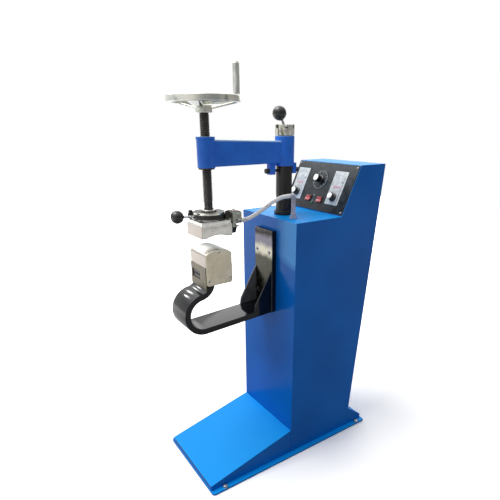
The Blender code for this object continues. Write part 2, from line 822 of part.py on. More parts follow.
def build_foot_cover():
    """The sloped cover over the front of the base plate, cut square to the pedestal."""
    slope = (FOOT_HEIGHT - FOOT_EDGE_HEIGHT) / FOOT_REACH
    outline = [
        (-FOOT_REACH, CABINET_FLOOR), (-FOOT_REACH, FOOT_EDGE_HEIGHT),
        (CUT_OVERRUN, FOOT_HEIGHT + slope * CUT_OVERRUN), (CUT_OVERRUN, CABINET_FLOOR),
    ]
    cover = folded_shell("foot_cover", outline, CABINET_WIDTH, CABINET_WALL,
                         [(0, 0, -1), (0, 1, 0)])
    trim = span_box("foot_trim", (-CABINET_WIDTH, -SEAT_GAP, -CUT_OVERRUN),
                    (CABINET_WIDTH, 3 * CUT_OVERRUN, 2 * FOOT_HEIGHT))
    finish(cut(cover, trim), BLUE_PAINT)


def build_rear_ledge():
    """The sloped ledge behind the pedestal, cut to the lean of its back."""
    inside = CUT_OVERRUN / math.cos(BACK_LEAN)
    reach = BACK_FOOT + LEDGE_DEPTH
    slope = (LEDGE_HEIGHT - LEDGE_EDGE_HEIGHT) / LEDGE_DEPTH
    outline = [
        (back_y(CABINET_FLOOR) - inside, CABINET_FLOOR), (reach, CABINET_FLOOR),
        (reach, LEDGE_EDGE_HEIGHT), (BACK_FOOT - inside, LEDGE_HEIGHT + slope * inside),
    ]
    ledge = folded_shell("rear_ledge", outline, CABINET_WIDTH, CABINET_WALL, [(0, 0, -1)])
    trim = span_box("ledge_trim", (-CABINET_WIDTH, -2 * LEDGE_HEIGHT, -3 * CUT_OVERRUN),
                    (CABINET_WIDTH, LEDGE_HEIGHT, SEAT_GAP))
    finish(cut(ledge, place(trim, parent=BACK_FRAME)), BLUE_PAINT)


def rear_panel_limits():
    """Half width, low edge and high edge of the rear panel in the frame of the back."""
    half = CABINET_WIDTH / 2 - REAR_PANEL_MARGIN
    return half, REAR_PANEL_MARGIN, BACK_LENGTH - REAR_PANEL_MARGIN


def rear_screw_places():
    _, low, high = rear_panel_limits()
    inset = CABINET_FLANGE / 2
    side = CABINET_WIDTH / 2 - inset
    rows = [low + inset + (high - low - 2 * inset) * i / (REAR_SCREW_ROWS - 1)
            for i in range(REAR_SCREW_ROWS)]
    return [(x, row) for row in rows for x in (-side, side)]


def build_rear_panel():
    """The rear panel with its vents, its screws and the gland of the mains cable."""
    half, low, high = rear_panel_limits()
    bottom = SEAT_GAP
    top = bottom + REAR_PANEL_THICKNESS
    panel = place(span_box("rear_panel", (-half, low, bottom), (half, high, top)),
                  parent=BACK_FRAME)
    for index in range(VENT_COUNT):
        centre = (0, high - VENT_DROP - index * VENT_PITCH, 0)
        slot = box(f"vent_{index}", (VENT_LENGTH, VENT_HEIGHT, CUT_OVERRUN * 2), centre)
        cut(panel, place(slot, parent=BACK_FRAME))
    profile = gland_profile(0, DECK_GLAND_DIAMETER, DECK_GLAND_HEX_HEIGHT, DECK_GLAND_HEIGHT)
    gland = turned("mains_gland", profile, SMALL_STEPS)
    place(gland, (MAINS_GLAND_X, MAINS_GLAND_RISE, top - SEAT_GAP), parent=BACK_FRAME)
    mains_hole = rod("mains_hole", MAINS_GLAND_BORE, -CUT_OVERRUN,
                     top + DECK_GLAND_HEIGHT + CUT_OVERRUN)
    place(mains_hole, (MAINS_GLAND_X, MAINS_GLAND_RISE, 0), parent=BACK_FRAME)
    cut(join(panel, gland), mains_hole)
    for index, (x, y) in enumerate(rear_screw_places()):
        screw = pan_screw(f"rear_screw_{index}")
        join(panel, place(screw, (x, y, top), parent=BACK_FRAME))
        hole = rod(f"rear_screw_hole_{index}", COVER_SCREW_SHANK + 2 * RUNNING_GAP,
                   -CUT_OVERRUN - CABINET_WALL, SEAT_GAP / 2, TINY_STEPS)
        cut(bpy.data.objects["cabinet_shell"], place(hole, (x, y, 0), parent=BACK_FRAME))
    finish(panel, BLUE_PAINT)


def heater_screw_places():
    """Y and Z of the screws of the end covers."""
    front = LOWER_BLOCK_Y - LOWER_BLOCK_DEPTH / 2
    back = LOWER_BLOCK_Y + LOWER_BLOCK_DEPTH / 2
    low = END_COVER_BOTTOM + CORNER_SCREW_RISE
    return [
        (LOWER_BLOCK_Y, LOWER_BLOCK_TOP - CROWN_SCREW_DROP),
        (front + CORNER_SCREW_INSET, low), (back - CORNER_SCREW_INSET, low),
    ]


def panel_screw_places():
    side = CABINET_WIDTH / 2 - PANEL_SIDE_MARGIN - PANEL_SCREW_INSET
    low = PANEL_LOW_MARGIN + PANEL_SCREW_INSET
    high = PANEL_LENGTH - PANEL_HIGH_MARGIN - PANEL_SCREW_INSET
    return [(x, t) for x in (-side, side) for t in (low, high)]


def build_support_channel():
    """The channel behind the front wall, with the socket of the column and four mount bolts."""
    half = CHANNEL_WIDTH / 2
    inner = half - CHANNEL_WALL
    outline = [
        (-half, 0), (half, 0), (half, CHANNEL_DEPTH), (inner, CHANNEL_DEPTH),
        (inner, CHANNEL_WALL), (-inner, CHANNEL_WALL), (-inner, CHANNEL_DEPTH),
        (-half, CHANNEL_DEPTH),
    ]
    middle = (CHANNEL_BOTTOM + CHANNEL_TOP) / 2
    channel = place(plate("support_channel", outline, CHANNEL_TOP - CHANNEL_BOTTOM),
                    (0, CHANNEL_Y, middle))
    shelf_half = inner + CHANNEL_WALL / 2
    shelf_front = CHANNEL_Y + CHANNEL_WALL / 2
    shelf_back = CHANNEL_Y + CHANNEL_DEPTH - CHANNEL_WALL / 2
    shelves = [
        span_box(f"shelf_{index}", (-shelf_half, shelf_front, z),
                 (shelf_half, shelf_back, z + SHELF_THICKNESS))
        for index, z in enumerate((SHELF_HEIGHT, CHANNEL_TOP - 2 * SHELF_THICKNESS))
    ]
    join(channel, *shelves)
    bore = rod("socket_bore", COLUMN_DIAMETER + 2 * SEAT_GAP, SHELF_TOP,
               CHANNEL_TOP + CUT_OVERRUN, ROUND_STEPS)
    cut(channel, place(bore, (0, COLUMN_Y, 0)))
    join(channel, *mount_bolts())
    finish(channel, STEEL)


def mount_bolts():
    """Four socket screws that run through the mount plate, and their nuts on the channel."""
    seat = MOUNT_THICKNESS - MOUNT_BOLT_RECESS + SEAT_GAP
    nut_face = CHANNEL_Y + CHANNEL_WALL
    end = nut_face + MOUNT_NUT_HEIGHT + MOUNT_THREAD_SHOW
    head = MOUNT_BOLT_HEAD / 2
    socket = MOUNT_BOLT_SOCKET / 2
    shank = MOUNT_BOLT_SHANK / 2
    top = seat + MOUNT_BOLT_HEAD_HEIGHT
    floor = top - MOUNT_BOLT_SOCKET_DEPTH
    profile = [
        (0, floor), (socket, floor), (socket, top), (head, top), (head, seat), (shank, seat),
        (shank, -end), (0, -end),
    ]
    pieces = []
    for index, (x, z) in enumerate(mount_bolt_places()):
        screw = turned(f"mount_bolt_{index}", profile, SMALL_STEPS)
        nut = hexagon(f"mount_nut_{index}", MOUNT_NUT_HEX, -nut_face - MOUNT_NUT_HEIGHT,
                      SEAT_GAP - nut_face)
        pieces += [place(piece, (x, 0, z), (math.pi / 2, 0, 0)) for piece in (screw, nut)]
    return pieces


# Column and clamp lever

def build_column():
    bore = CLAMP_PIN_DIAMETER / 2 + RUNNING_GAP
    bore_floor = COLUMN_TOP - CLAMP_PIN_LENGTH - RUNNING_GAP
    journal_top = NUT_BASE - SEAT_GAP
    bottom = SHELF_TOP + SEAT_GAP
    profile = [
        (0, bore_floor), (bore, bore_floor), (bore, COLUMN_TOP), (COLUMN_THREAD / 2, COLUMN_TOP),
        (COLUMN_THREAD / 2, journal_top), (COLUMN_JOURNAL / 2, journal_top),
        (COLUMN_JOURNAL / 2, SHOULDER_HEIGHT), (COLUMN_DIAMETER / 2, SHOULDER_HEIGHT),
        (COLUMN_DIAMETER / 2, bottom), (0, bottom),
    ]
    finish(place(turned("column", profile), (0, COLUMN_Y, 0)), BLACK_PAINT)


def build_column_ring():
    bottom = DECK_HEIGHT + SEAT_GAP
    collar = ring("column_base_ring", COLUMN_DIAMETER + 2 * SEAT_GAP, COLUMN_RING_DIAMETER,
                  bottom, bottom + COLUMN_RING_HEIGHT)
    finish(place(collar, (0, COLUMN_Y, 0)), BLACK_PAINT)


def build_castle_nut():
    thread = COLUMN_THREAD / 2 + SEAT_GAP
    crown = NUT_CROWN_BORE / 2
    outer = NUT_DIAMETER / 2
    body_top = NUT_BASE + NUT_BODY_HEIGHT
    top = body_top + NUT_CROWN_HEIGHT
    profile = [
        (crown, top), (outer - NUT_CHAMFER, top), (outer, top - NUT_CHAMFER), (outer, NUT_BASE),
        (thread, NUT_BASE), (thread, body_top), (crown, body_top),
    ]
    nut = place(turned("castle_nut", profile), (0, COLUMN_Y, 0))
    for index in range(NUT_SLOT_COUNT // 2):
        slot = span_box(
            f"nut_slot_{index}", (-NUT_DIAMETER, -NUT_SLOT_WIDTH / 2, body_top + NUT_CHAMFER),
            (NUT_DIAMETER, NUT_SLOT_WIDTH / 2, top + CUT_OVERRUN),
        )
        angle = index * 2 * math.pi / NUT_SLOT_COUNT + math.pi / NUT_SLOT_COUNT
        cut(nut, place(slot, (0, COLUMN_Y, 0), (0, 0, angle)))
    finish(nut, POLISHED)


def clamp_ball_centre():
    """Middle of the clamp ball in the frame of the column's axis."""
    return Vector((0, -CLAMP_BALL_FORWARD, CLAMP_BALL_HEIGHT))


def rod_tip(centre, start, ball):
    """End of a rod that stops inside a ball's bore, a little short of its floor."""
    direction = (centre - start).normalized()
    return centre - direction * (ball / 2 - BALL_BORE_DEPTH + SEAT_GAP)


def build_clamp_lever():
    pin = CLAMP_PIN_DIAMETER / 2
    hub = CLAMP_HUB_DIAMETER / 2
    top = CLAMP_HUB_BASE + CLAMP_HUB_HEIGHT
    foot = COLUMN_TOP - CLAMP_PIN_LENGTH
    profile = [
        (0, top), (hub, top), (hub, CLAMP_HUB_BASE), (pin, CLAMP_HUB_BASE), (pin, foot), (0, foot),
    ]
    lever = place(turned("clamp_lever", profile, SMALL_STEPS), parent=CLAMP_AXIS)
    start = Vector((0, 0, CLAMP_HUB_BASE + CLAMP_HUB_HEIGHT / 2))
    tip = rod_tip(clamp_ball_centre(), start, CLAMP_BALL_DIAMETER)
    rod_piece = tube("clamp_rod", [start, tip], CLAMP_ROD_DIAMETER)
    join(lever, place(rod_piece, parent=CLAMP_AXIS))
    finish(lever, POLISHED)


def ball_knob(name, diameter, rod_diameter, centre, start, parent):
    """A ball with a blind bore that takes the rod coming from start."""
    bm = bmesh.new()
    bmesh.ops.create_uvsphere(bm, u_segments=20, v_segments=12, radius=diameter / 2)
    ball = place(mesh_object(name, bm), centre, parent=parent)
    direction = (start - centre).normalized()
    floor = centre + direction * (diameter / 2 - BALL_BORE_DEPTH)
    mouth = centre + direction * (diameter / 2 + CUT_OVERRUN)
    bore = tube(name + "_bore", [floor, mouth], rod_diameter + 2 * SEAT_GAP)
    cut(ball, place(bore, parent=parent))
    finish(ball, BLACK_PLASTIC)


def build_clamp_ball():
    start = Vector((0, 0, CLAMP_HUB_BASE + CLAMP_HUB_HEIGHT / 2))
    ball_knob("clamp_ball", CLAMP_BALL_DIAMETER, CLAMP_ROD_DIAMETER, clamp_ball_centre(), start,
              CLAMP_AXIS)


# Swing arm

def lug_spans():
    """Front and back of the two lugs, measured from the column's axis."""
    radius = COLUMN_DIAMETER / 2
    front_back = -radius - FRONT_LUG_CLEARANCE
    rear_front = radius + REAR_LUG_CLEARANCE
    return [
        (front_back - FRONT_LUG_THICKNESS, front_back),
        (rear_front, rear_front + REAR_LUG_THICKNESS),
    ]


def build_swing_arm():
    beam_outline = [
        (-ARM_REACH, ARM_BOTTOM), (0, ARM_BOTTOM), (0, ARM_REAR_TOP), (-ARM_REACH, ARM_FRONT_TOP),
    ]
    arm = side_plate("swing_arm", beam_outline, ARM_WIDTH, parent=ARM_AXIS)
    add_bevel(arm, ARM_EDGE, 2)
    collar_bottom = FRONT_BOSS_TOP - FRONT_COLLAR_HEIGHT
    front = turned("front_boss", [
        (0, FRONT_BOSS_TOP), (FRONT_COLLAR_DIAMETER / 2, FRONT_BOSS_TOP),
        (FRONT_COLLAR_DIAMETER / 2, collar_bottom), (FRONT_BOSS_DIAMETER / 2, collar_bottom),
        (FRONT_BOSS_DIAMETER / 2, FRONT_BOSS_BOTTOM), (0, FRONT_BOSS_BOTTOM),
    ])
    rear = rod("rear_boss", REAR_BOSS_DIAMETER, REAR_BOSS_BOTTOM, REAR_BOSS_TOP, ROUND_STEPS)
    join(arm, place(front, (0, -ARM_REACH, 0), parent=ARM_AXIS), place(rear, parent=ARM_AXIS))
    (front_low, front_high), (rear_low, rear_high) = lug_spans()
    front_lug = span_box("front_lug", (-LUG_WIDTH / 2, front_low, LUG_BOTTOM),
                         (LUG_WIDTH / 2, front_high, ARM_BOTTOM + LUG_OVERLAP))
    rear_lug = span_box("rear_lug", (-LUG_WIDTH / 2, rear_low, LUG_BOTTOM),
                        (LUG_WIDTH / 2, rear_high, REAR_BOSS_BOTTOM + LUG_OVERLAP))
    join(arm, place(front_lug, parent=ARM_AXIS), place(rear_lug, parent=ARM_AXIS))
    spindle_bore = rod("spindle_bore", SPINDLE_NUT_DIAMETER + 2 * SEAT_GAP,
                       FRONT_BOSS_BOTTOM - CUT_OVERRUN, FRONT_BOSS_TOP + CUT_OVERRUN, ROUND_STEPS)
    column_bore = rod("column_bore", BUSH_DIAMETER + 2 * SEAT_GAP,
                      REAR_BOSS_BOTTOM - CUT_OVERRUN, REAR_BOSS_TOP + CUT_OVERRUN, ROUND_STEPS)
    bolt_bore = rod("stop_bolt_bore", STOP_BOLT_SHANK + 2 * SEAT_GAP,
                    front_low - CUT_OVERRUN, rear_high + CUT_OVERRUN)
    half_step = math.pi / ROUND_STEPS
    place(spindle_bore, (0, -ARM_REACH, 0), (0, 0, half_step), ARM_AXIS)
    place(column_bore, rotation=(0, 0, half_step), parent=ARM_AXIS)
    place(bolt_bore, (0, 0, STOP_BOLT_HEIGHT), (-math.pi / 2, 0, 0), ARM_AXIS)
    cut(arm, column_bore, spindle_bore, bolt_bore)
    finish(arm, BLUE_PAINT)


def build_column_bush():
    inner = BUSH_BORE / 2
    outer = BUSH_DIAMETER / 2
    flange = BUSH_FLANGE_DIAMETER / 2
    flange_top = REAR_BOSS_BOTTOM - SEAT_GAP
    flange_bottom = flange_top - BUSH_FLANGE_THICKNESS
    profile = [
        (inner, REAR_BOSS_TOP), (outer, REAR_BOSS_TOP), (outer, flange_top),
        (flange, flange_top), (flange, flange_bottom), (inner, flange_bottom),
    ]
    finish(place(turned("column_bush", profile), parent=ARM_AXIS), BRONZE)


def build_stop_bolts():
    """Two hex bolts whose tips stop short of the column."""
    (front_low, _), (_, rear_high) = lug_spans()
    tip = COLUMN_DIAMETER / 2 + STOP_BOLT_TIP_GAP
    rows = (("stop_bolt_front", front_low, math.pi / 2),
            ("stop_bolt_rear", rear_high, -math.pi / 2))
    for name, seat, turn in rows:
        length = abs(seat) + SEAT_GAP - tip
        bolt = hex_bolt(name, STOP_BOLT_HEX, STOP_BOLT_HEAD, STOP_BOLT_SHANK, length)
        outward = math.copysign(SEAT_GAP, seat)
        place(bolt, (0, seat + outward, STOP_BOLT_HEIGHT), (turn, 0, 0), ARM_AXIS)
        finish(bolt, BLACK_OXIDE)


def build_spindle_nut():
    inner = SPINDLE_DIAMETER / 2 + RUNNING_GAP
    outer = SPINDLE_NUT_DIAMETER / 2
    flange = SPINDLE_NUT_FLANGE / 2
    flange_top = FRONT_BOSS_BOTTOM - SEAT_GAP
    flange_bottom = flange_top - SPINDLE_NUT_FLANGE_THICKNESS
    profile = [
        (inner, FRONT_BOSS_TOP), (outer, FRONT_BOSS_TOP), (outer, flange_top),
        (flange, flange_top), (flange, flange_bottom), (inner, flange_bottom),
    ]
    nut = turned("spindle_nut", profile)
    finish(place(nut, (0, -ARM_REACH, 0), parent=ARM_AXIS), BRONZE)


# Spindle, handwheel and grip

def build_spindle():
    """The screw spindle from its tip button in the head to the nut that holds the handwheel."""
    top_thread = HUB_TOP + SEAT_GAP + HUB_NUT_HEIGHT + SEAT_GAP
    profile = [
        (0, top_thread), (TOP_THREAD / 2, top_thread), (TOP_THREAD / 2, HUB_TOP - SEAT_GAP),
        (WHEEL_JOURNAL / 2, HUB_TOP - SEAT_GAP), (WHEEL_JOURNAL / 2, HUB_BOTTOM - SEAT_GAP),
        (SPINDLE_DIAMETER / 2, HUB_BOTTOM - SEAT_GAP), (SPINDLE_DIAMETER / 2, SPINDLE_SHOULDER),
        (TIP_JOURNAL / 2, SPINDLE_SHOULDER), (TIP_JOURNAL / 2, BUTTON_TOP),
        (TIP_BUTTON_DIAMETER / 2, BUTTON_TOP), (TIP_BUTTON_DIAMETER / 2, BUTTON_BOTTOM),
        (0, BUTTON_BOTTOM),
    ]
    spindle = place(turned("spindle", profile), parent=PRESS_AXIS)
    nut_bottom = HUB_TOP + SEAT_GAP
    nut = hexagon("hub_nut", HUB_NUT_HEX, nut_bottom, nut_bottom + HUB_NUT_HEIGHT)
    join(spindle, place(nut, parent=PRESS_AXIS))
    finish(spindle, BLACK_OXIDE)


def spoke(index):
    """One flat spoke that rises from the hub to the underside of the rim."""
    start = (HUB_DIAMETER - SPOKE_INNER_WIDTH) / 2
    end = WHEEL_DIAMETER / 2 - WHEEL_RIM_WIDTH / 2
    inner = SPOKE_INNER_WIDTH / 2
    outer = SPOKE_OUTER_WIDTH / 2
    low = HUB_BOTTOM + SPOKE_FOOT_RISE
    high = WHEEL_RIM_BOTTOM + SPOKE_THICKNESS / 2
    tilt = math.atan2(high - low, end - start)
    length = math.hypot(high - low, end - start)
    outline = [(0, -inner), (length, -outer), (length, outer), (0, inner)]
    angle = SPOKE_ANGLE + index * 2 * math.pi / SPOKE_COUNT
    holder = new_empty(f"spoke_axis_{index}", rotation=(0, 0, angle), parent=PRESS_AXIS)
    piece = plate(f"spoke_{index}", outline, SPOKE_THICKNESS)
    return place(piece, (start, 0, low), (0, -tilt, 0), holder)


def grip_place():
    return (RIM_MEAN_RADIUS * math.cos(GRIP_ANGLE), RIM_MEAN_RADIUS * math.sin(GRIP_ANGLE), 0)


def build_handwheel():
    outer = WHEEL_DIAMETER / 2
    inner = outer - WHEEL_RIM_WIDTH
    edge = WHEEL_RIM_CHAMFER
    profile = [
        (inner + edge, RIM_TOP), (outer - edge, RIM_TOP), (outer, RIM_TOP - edge),
        (outer, WHEEL_RIM_BOTTOM + edge), (outer - edge, WHEEL_RIM_BOTTOM),
        (inner + edge, WHEEL_RIM_BOTTOM), (inner, WHEEL_RIM_BOTTOM + edge), (inner, RIM_TOP - edge),
    ]
    wheel = place(turned("handwheel", profile, FINE_STEPS), parent=PRESS_AXIS)
    join(wheel, *[spoke(index) for index in range(SPOKE_COUNT)])
    hub = rod("wheel_hub", HUB_DIAMETER, HUB_BOTTOM, HUB_TOP, ROUND_STEPS)
    join(wheel, place(hub, parent=PRESS_AXIS))
    hub_bore = rod("hub_bore", WHEEL_JOURNAL + 2 * SEAT_GAP, HUB_BOTTOM - CUT_OVERRUN,
                   HUB_TOP + CUT_OVERRUN)
    cut(wheel, place(hub_bore, parent=PRESS_AXIS))
    join(wheel, place(grip_pin(), grip_place(), parent=PRESS_AXIS))
    finish(wheel, POLISHED)


def grip_pin():
    """The pin that is riveted into the rim, with a head over the grip."""
    neck = RIM_TOP + RUNNING_GAP + GRIP_LENGTH + RUNNING_GAP
    head = GRIP_PIN_HEAD_DIAMETER / 2
    shank = GRIP_PIN_DIAMETER / 2
    return turned("grip_pin", [
        (0, neck + GRIP_PIN_HEAD_HEIGHT), (head * 0.8, neck + GRIP_PIN_HEAD_HEIGHT),
        (head, neck + GRIP_PIN_HEAD_HEIGHT / 2), (head, neck), (shank, neck),
        (shank, RIM_TOP - GRIP_PIN_DEPTH), (0, RIM_TOP - GRIP_PIN_DEPTH),
    ], SMALL_STEPS)


def build_grip():
    """A plain sleeve that turns on its pin."""
    bottom = RIM_TOP + RUNNING_GAP
    top = bottom + GRIP_LENGTH
    bore = GRIP_PIN_DIAMETER / 2 + RUNNING_GAP
    grip = turned("handwheel_grip", [
        (bore, top), (GRIP_DIAMETER / 2, top), (GRIP_DIAMETER / 2, bottom + GRIP_NECK_LENGTH),
        (GRIP_NECK_DIAMETER / 2, bottom), (bore, bottom),
    ], SMALL_STEPS)
    finish(place(grip, grip_place(), parent=PRESS_AXIS), STEEL)


# Press head

def build_thrust_collar():
    collar = ring("thrust_collar", SPINDLE_DIAMETER + 2 * RUNNING_GAP, COLLAR_DIAMETER,
                  COLLAR_BOTTOM, COLLAR_TOP)
    finish(place(collar, parent=PRESS_AXIS), POLISHED)


def build_thrust_bearing():
    bearing = ring("thrust_bearing", TIP_JOURNAL + 2 * RUNNING_GAP, RING_BORE - 2 * RUNNING_GAP,
                   BEARING_BOTTOM, BEARING_TOP)
    finish(place(bearing, parent=PRESS_AXIS), STEEL)


def build_swivel_disc():
    disc = ring("swivel_disc", SPINDLE_DIAMETER + 2 * RUNNING_GAP, DISC_DIAMETER, DISC_BOTTOM,
                DISC_TOP, FINE_STEPS)
    finish(place(disc, parent=PRESS_AXIS), BLACK_OXIDE)


def ear_places():
    return [
        (EAR_CIRCLE * math.cos(EAR_ANGLE + turn), EAR_CIRCLE * math.sin(EAR_ANGLE + turn), 0)
        for turn in (0, math.pi)
    ]


def head_rod_start():
    """Where the axis of the head lever leaves the ring, in the frame of the press axis."""
    return Vector((0, HEAD_ROD_DEPTH - RING_DIAMETER / 2, (RING_BOTTOM + RING_TOP) / 2))


def head_ball_centre():
    return Vector((0, -HEAD_BALL_FORWARD, HEAD_BALL_HEIGHT))


def build_disc_ring():
    lower = rod("disc_ring", RING_DIAMETER, RING_BOTTOM, RING_TOP, FINE_STEPS)
    place(lower, parent=PRESS_AXIS)
    for index, centre in enumerate(ear_places()):
        ear = rod(f"ear_{index}", 2 * EAR_RADIUS, RING_BOTTOM, RING_TOP)
        join(lower, place(ear, centre, parent=PRESS_AXIS))
    bore = rod("ring_bore", RING_BORE, RING_BOTTOM - CUT_OVERRUN, RING_TOP + CUT_OVERRUN,
               ROUND_STEPS)
    cut(lower, place(bore, parent=PRESS_AXIS))
    cut(lower, *disc_bolt_holes("ear_hole", RING_BOTTOM, RING_TOP))
    start = head_rod_start()
    direction = (start - head_ball_centre()).normalized()
    socket = tube("rod_socket", [start + direction * SEAT_GAP, head_ball_centre()],
                  HEAD_ROD_DIAMETER + 2 * SEAT_GAP)
    cut(lower, place(socket, parent=PRESS_AXIS))
    finish(lower, BLACK_OXIDE)


def disc_bolt_holes(name, bottom, top):
    return [
        place(rod(f"{name}_{index}", DISC_BOLT_SHANK + 2 * SEAT_GAP, bottom - CUT_OVERRUN,
                  top + CUT_OVERRUN), centre, parent=PRESS_AXIS)
        for index, centre in enumerate(ear_places())
    ]


def build_disc_bolts():
    seat = RING_TOP + SEAT_GAP
    length = seat - HEAD_PLATE_BOTTOM
    for name, (x, y, _) in zip(("disc_bolt_right", "disc_bolt_left"), ear_places()):
        bolt = hex_bolt(name, DISC_BOLT_HEX, DISC_BOLT_HEAD, DISC_BOLT_SHANK, length)
        finish(place(bolt, (x, y, seat), parent=PRESS_AXIS), BLACK_OXIDE)


def build_head_plate():
    """The aluminium plate over the block, with a round spacer on it."""
    half_x = HEAD_PLATE_LENGTH / 2
    half_y = HEAD_PLATE_DEPTH / 2
    base = span_box("head_base_plate", (-half_x, -half_y, HEAD_PLATE_BOTTOM),
                    (half_x, half_y, HEAD_PLATE_TOP))
    place(base, parent=PRESS_AXIS)
    spacer = rod("head_spacer", HEAD_SPACER_DIAMETER, HEAD_PLATE_BOTTOM + TIP_BUTTON_HEIGHT,
                 SPACER_TOP, ROUND_STEPS)
    join(base, place(spacer, parent=PRESS_AXIS))
    shaft_bore = rod("tip_bore", TIP_JOURNAL + 2 * RUNNING_GAP, HEAD_PLATE_BOTTOM - CUT_OVERRUN,
                     SPACER_TOP + CUT_OVERRUN)
    pocket = rod("button_pocket", TIP_BUTTON_DIAMETER + 2 * RUNNING_GAP,
                 HEAD_PLATE_BOTTOM - CUT_OVERRUN, BUTTON_TOP + SEAT_GAP)
    cut(base, place(shaft_bore, parent=PRESS_AXIS), place(pocket, parent=PRESS_AXIS))
    cut(base, *disc_bolt_holes("plate_hole", HEAD_PLATE_BOTTOM, HEAD_PLATE_TOP))
    finish(base, ALUMINIUM)


def element_rows():
    """Offset, diameter and length of each heater cartridge and of the sensor."""
    return [
        (-ELEMENT_SPREAD / 2, ELEMENT_DIAMETER, ELEMENT_LENGTH),
        (ELEMENT_SPREAD / 2, ELEMENT_DIAMETER, ELEMENT_LENGTH),
        (0, SENSOR_DIAMETER, SENSOR_LENGTH),
    ]


def element_bar(name, clearance, reach):
    """The bar that joins the cartridges, or its slot, around Z of an axis."""
    half = (ELEMENT_SPREAD + ELEMENT_DIAMETER) / 2 + clearance
    height = ELEMENT_BAR_HEIGHT / 2 + clearance
    back = ELEMENT_LENGTH / 2 - ELEMENT_BAR_THICKNESS - clearance
    return span_box(name, (-half, -height, back), (half, height, reach))


def element_bores(name, axis):
    """Bores along Z of an axis and the slot of the bar, all open at their far end."""
    tools = [place(element_bar(f"{name}_slot", SEAT_GAP, ELEMENT_LENGTH), parent=axis)]
    for index, (offset, diameter, length) in enumerate(element_rows()):
        start = ELEMENT_LENGTH / 2 - length
        bore = rod(f"{name}_{index}", diameter + 2 * SEAT_GAP, start - RUNNING_GAP,
                   ELEMENT_LENGTH)
        tools.append(place(bore, (offset, 0, 0), parent=axis))
    return tools


def build_element(name, axis):
    """Two heater cartridges and a sensor that hang from one bar."""
    end = ELEMENT_LENGTH / 2
    element = place(element_bar(name, 0, end), parent=axis)
    for index, (offset, diameter, length) in enumerate(element_rows()):
        piece = rod(f"{name}_{index}", diameter, end - length, end - ELEMENT_BAR_THICKNESS / 2)
        join(element, place(piece, (offset, 0, 0), parent=axis))
    finish(element, STEEL)


def build_upper_block():
    """A flat block whose underside is hollowed along X to the curve of a tire."""
    half_x = UPPER_BLOCK_LENGTH / 2
    half_y = UPPER_BLOCK_DEPTH / 2
    block = span_box("upper_heat_block", (-half_x, -half_y, UPPER_BLOCK_BOTTOM),
                     (half_x, half_y, UPPER_BLOCK_TOP))
    place(block, parent=PRESS_AXIS)
    radius = (half_y ** 2 + UPPER_HOLLOW ** 2) / (2 * UPPER_HOLLOW)
    hollow = rod("tire_hollow", 2 * radius, -half_x - CUT_OVERRUN, half_x + CUT_OVERRUN,
                 4 * FINE_STEPS)
    centre_z = UPPER_BLOCK_BOTTOM + UPPER_HOLLOW - radius
    place(hollow, (0, 0, centre_z), (0, math.pi / 2, 0), PRESS_AXIS)
    cut(block, hollow)
    cut(block, *element_bores("upper_bore", UPPER_INSERT_AXIS))
    finish(block, ALUMINIUM)


def build_head_lever():
    start = head_rod_start()
    tip = rod_tip(head_ball_centre(), start, HEAD_BALL_DIAMETER)
    lever = tube("head_lever", [start, tip], HEAD_ROD_DIAMETER)
    finish(place(lever, parent=PRESS_AXIS), POLISHED)


def build_head_ball():
    ball_knob("head_ball", HEAD_BALL_DIAMETER, HEAD_ROD_DIAMETER, head_ball_centre(),
              head_rod_start(), PRESS_AXIS)


def build_terminal_box():
    """A box behind the head, with a tongue on the plate and a lip under the gland."""
    left = BOX_CENTRE_X - BOX_WIDTH / 2
    right = BOX_CENTRE_X + BOX_WIDTH / 2
    wall_back = BOX_FRONT + BOX_WALL_DEPTH
    wall = span_box("terminal_box", (left, BOX_FRONT, BOX_LIP_HEIGHT), (right, wall_back, BOX_TOP))
    place(wall, parent=PRESS_AXIS)
    upper = span_box("box_upper", (left, BOX_FRONT, BOX_BOTTOM),
                     (right, BOX_FRONT + BOX_DEPTH, BOX_TOP))
    lip = span_box("box_lip", (left, BOX_FRONT, BOX_LIP_HEIGHT),
                   (right, BOX_FRONT + BOX_LIP_DEPTH, BOX_LIP_HEIGHT + BOX_LIP_THICKNESS))
    tongue_bottom = HEAD_PLATE_TOP + SEAT_GAP
    tongue = span_box("box_tongue", (left + BOX_LIP_THICKNESS, BOX_FRONT - BOX_TONGUE_REACH,
                                     tongue_bottom),
                      (BOX_CENTRE_X, BOX_FRONT + BOX_WALL_DEPTH / 2,
                       tongue_bottom + BOX_TONGUE_THICKNESS))
    join(wall, *[place(piece, parent=PRESS_AXIS) for piece in (upper, lip, tongue)])
    finish(wall, ZINC)


def gland_profile(bore, diameter, hex_length, length):
    """A turned gland with a wide foot, a body and a domed nut, standing on zero.

    With a bore of zero it is solid.
    """
    inner = bore / 2
    outer = diameter / 2
    neck = outer * 0.86
    return [
        (inner, length), (neck * 0.9, length), (neck, length * 0.9), (neck, hex_length),
        (outer, hex_length), (outer, 0), (inner, 0),
    ]


def build_hose_gland():
    """The metal gland on the terminal box. It reaches to where the hose starts."""
    start = BOX_FRONT + BOX_WALL_DEPTH + SEAT_GAP
    length = HOSE_ROUTE[0][1] - LOWER_BLOCK_Y - start
    profile = gland_profile(GLAND_BORE, GLAND_DIAMETER, GLAND_HEX_LENGTH, length)
    gland = turned("hose_gland", profile, SMALL_STEPS)
    place(gland, (BOX_CENTRE_X, start, GLAND_HEIGHT), (-math.pi / 2, 0, 0), PRESS_AXIS)
    finish(gland, ZINC)


def build_terminal_boot():
    top = BOX_LIP_HEIGHT - SEAT_GAP
    boot = frustum("terminal_boot", BOOT_BOTTOM_WIDTH, BOOT_TOP_WIDTH, top - BOOT_HEIGHT, top)
    middle = BOX_FRONT + BOX_LIP_DEPTH / 2
    finish(place(boot, (BOX_CENTRE_X, middle, 0), parent=PRESS_AXIS), BLACK_RUBBER)


# Hose

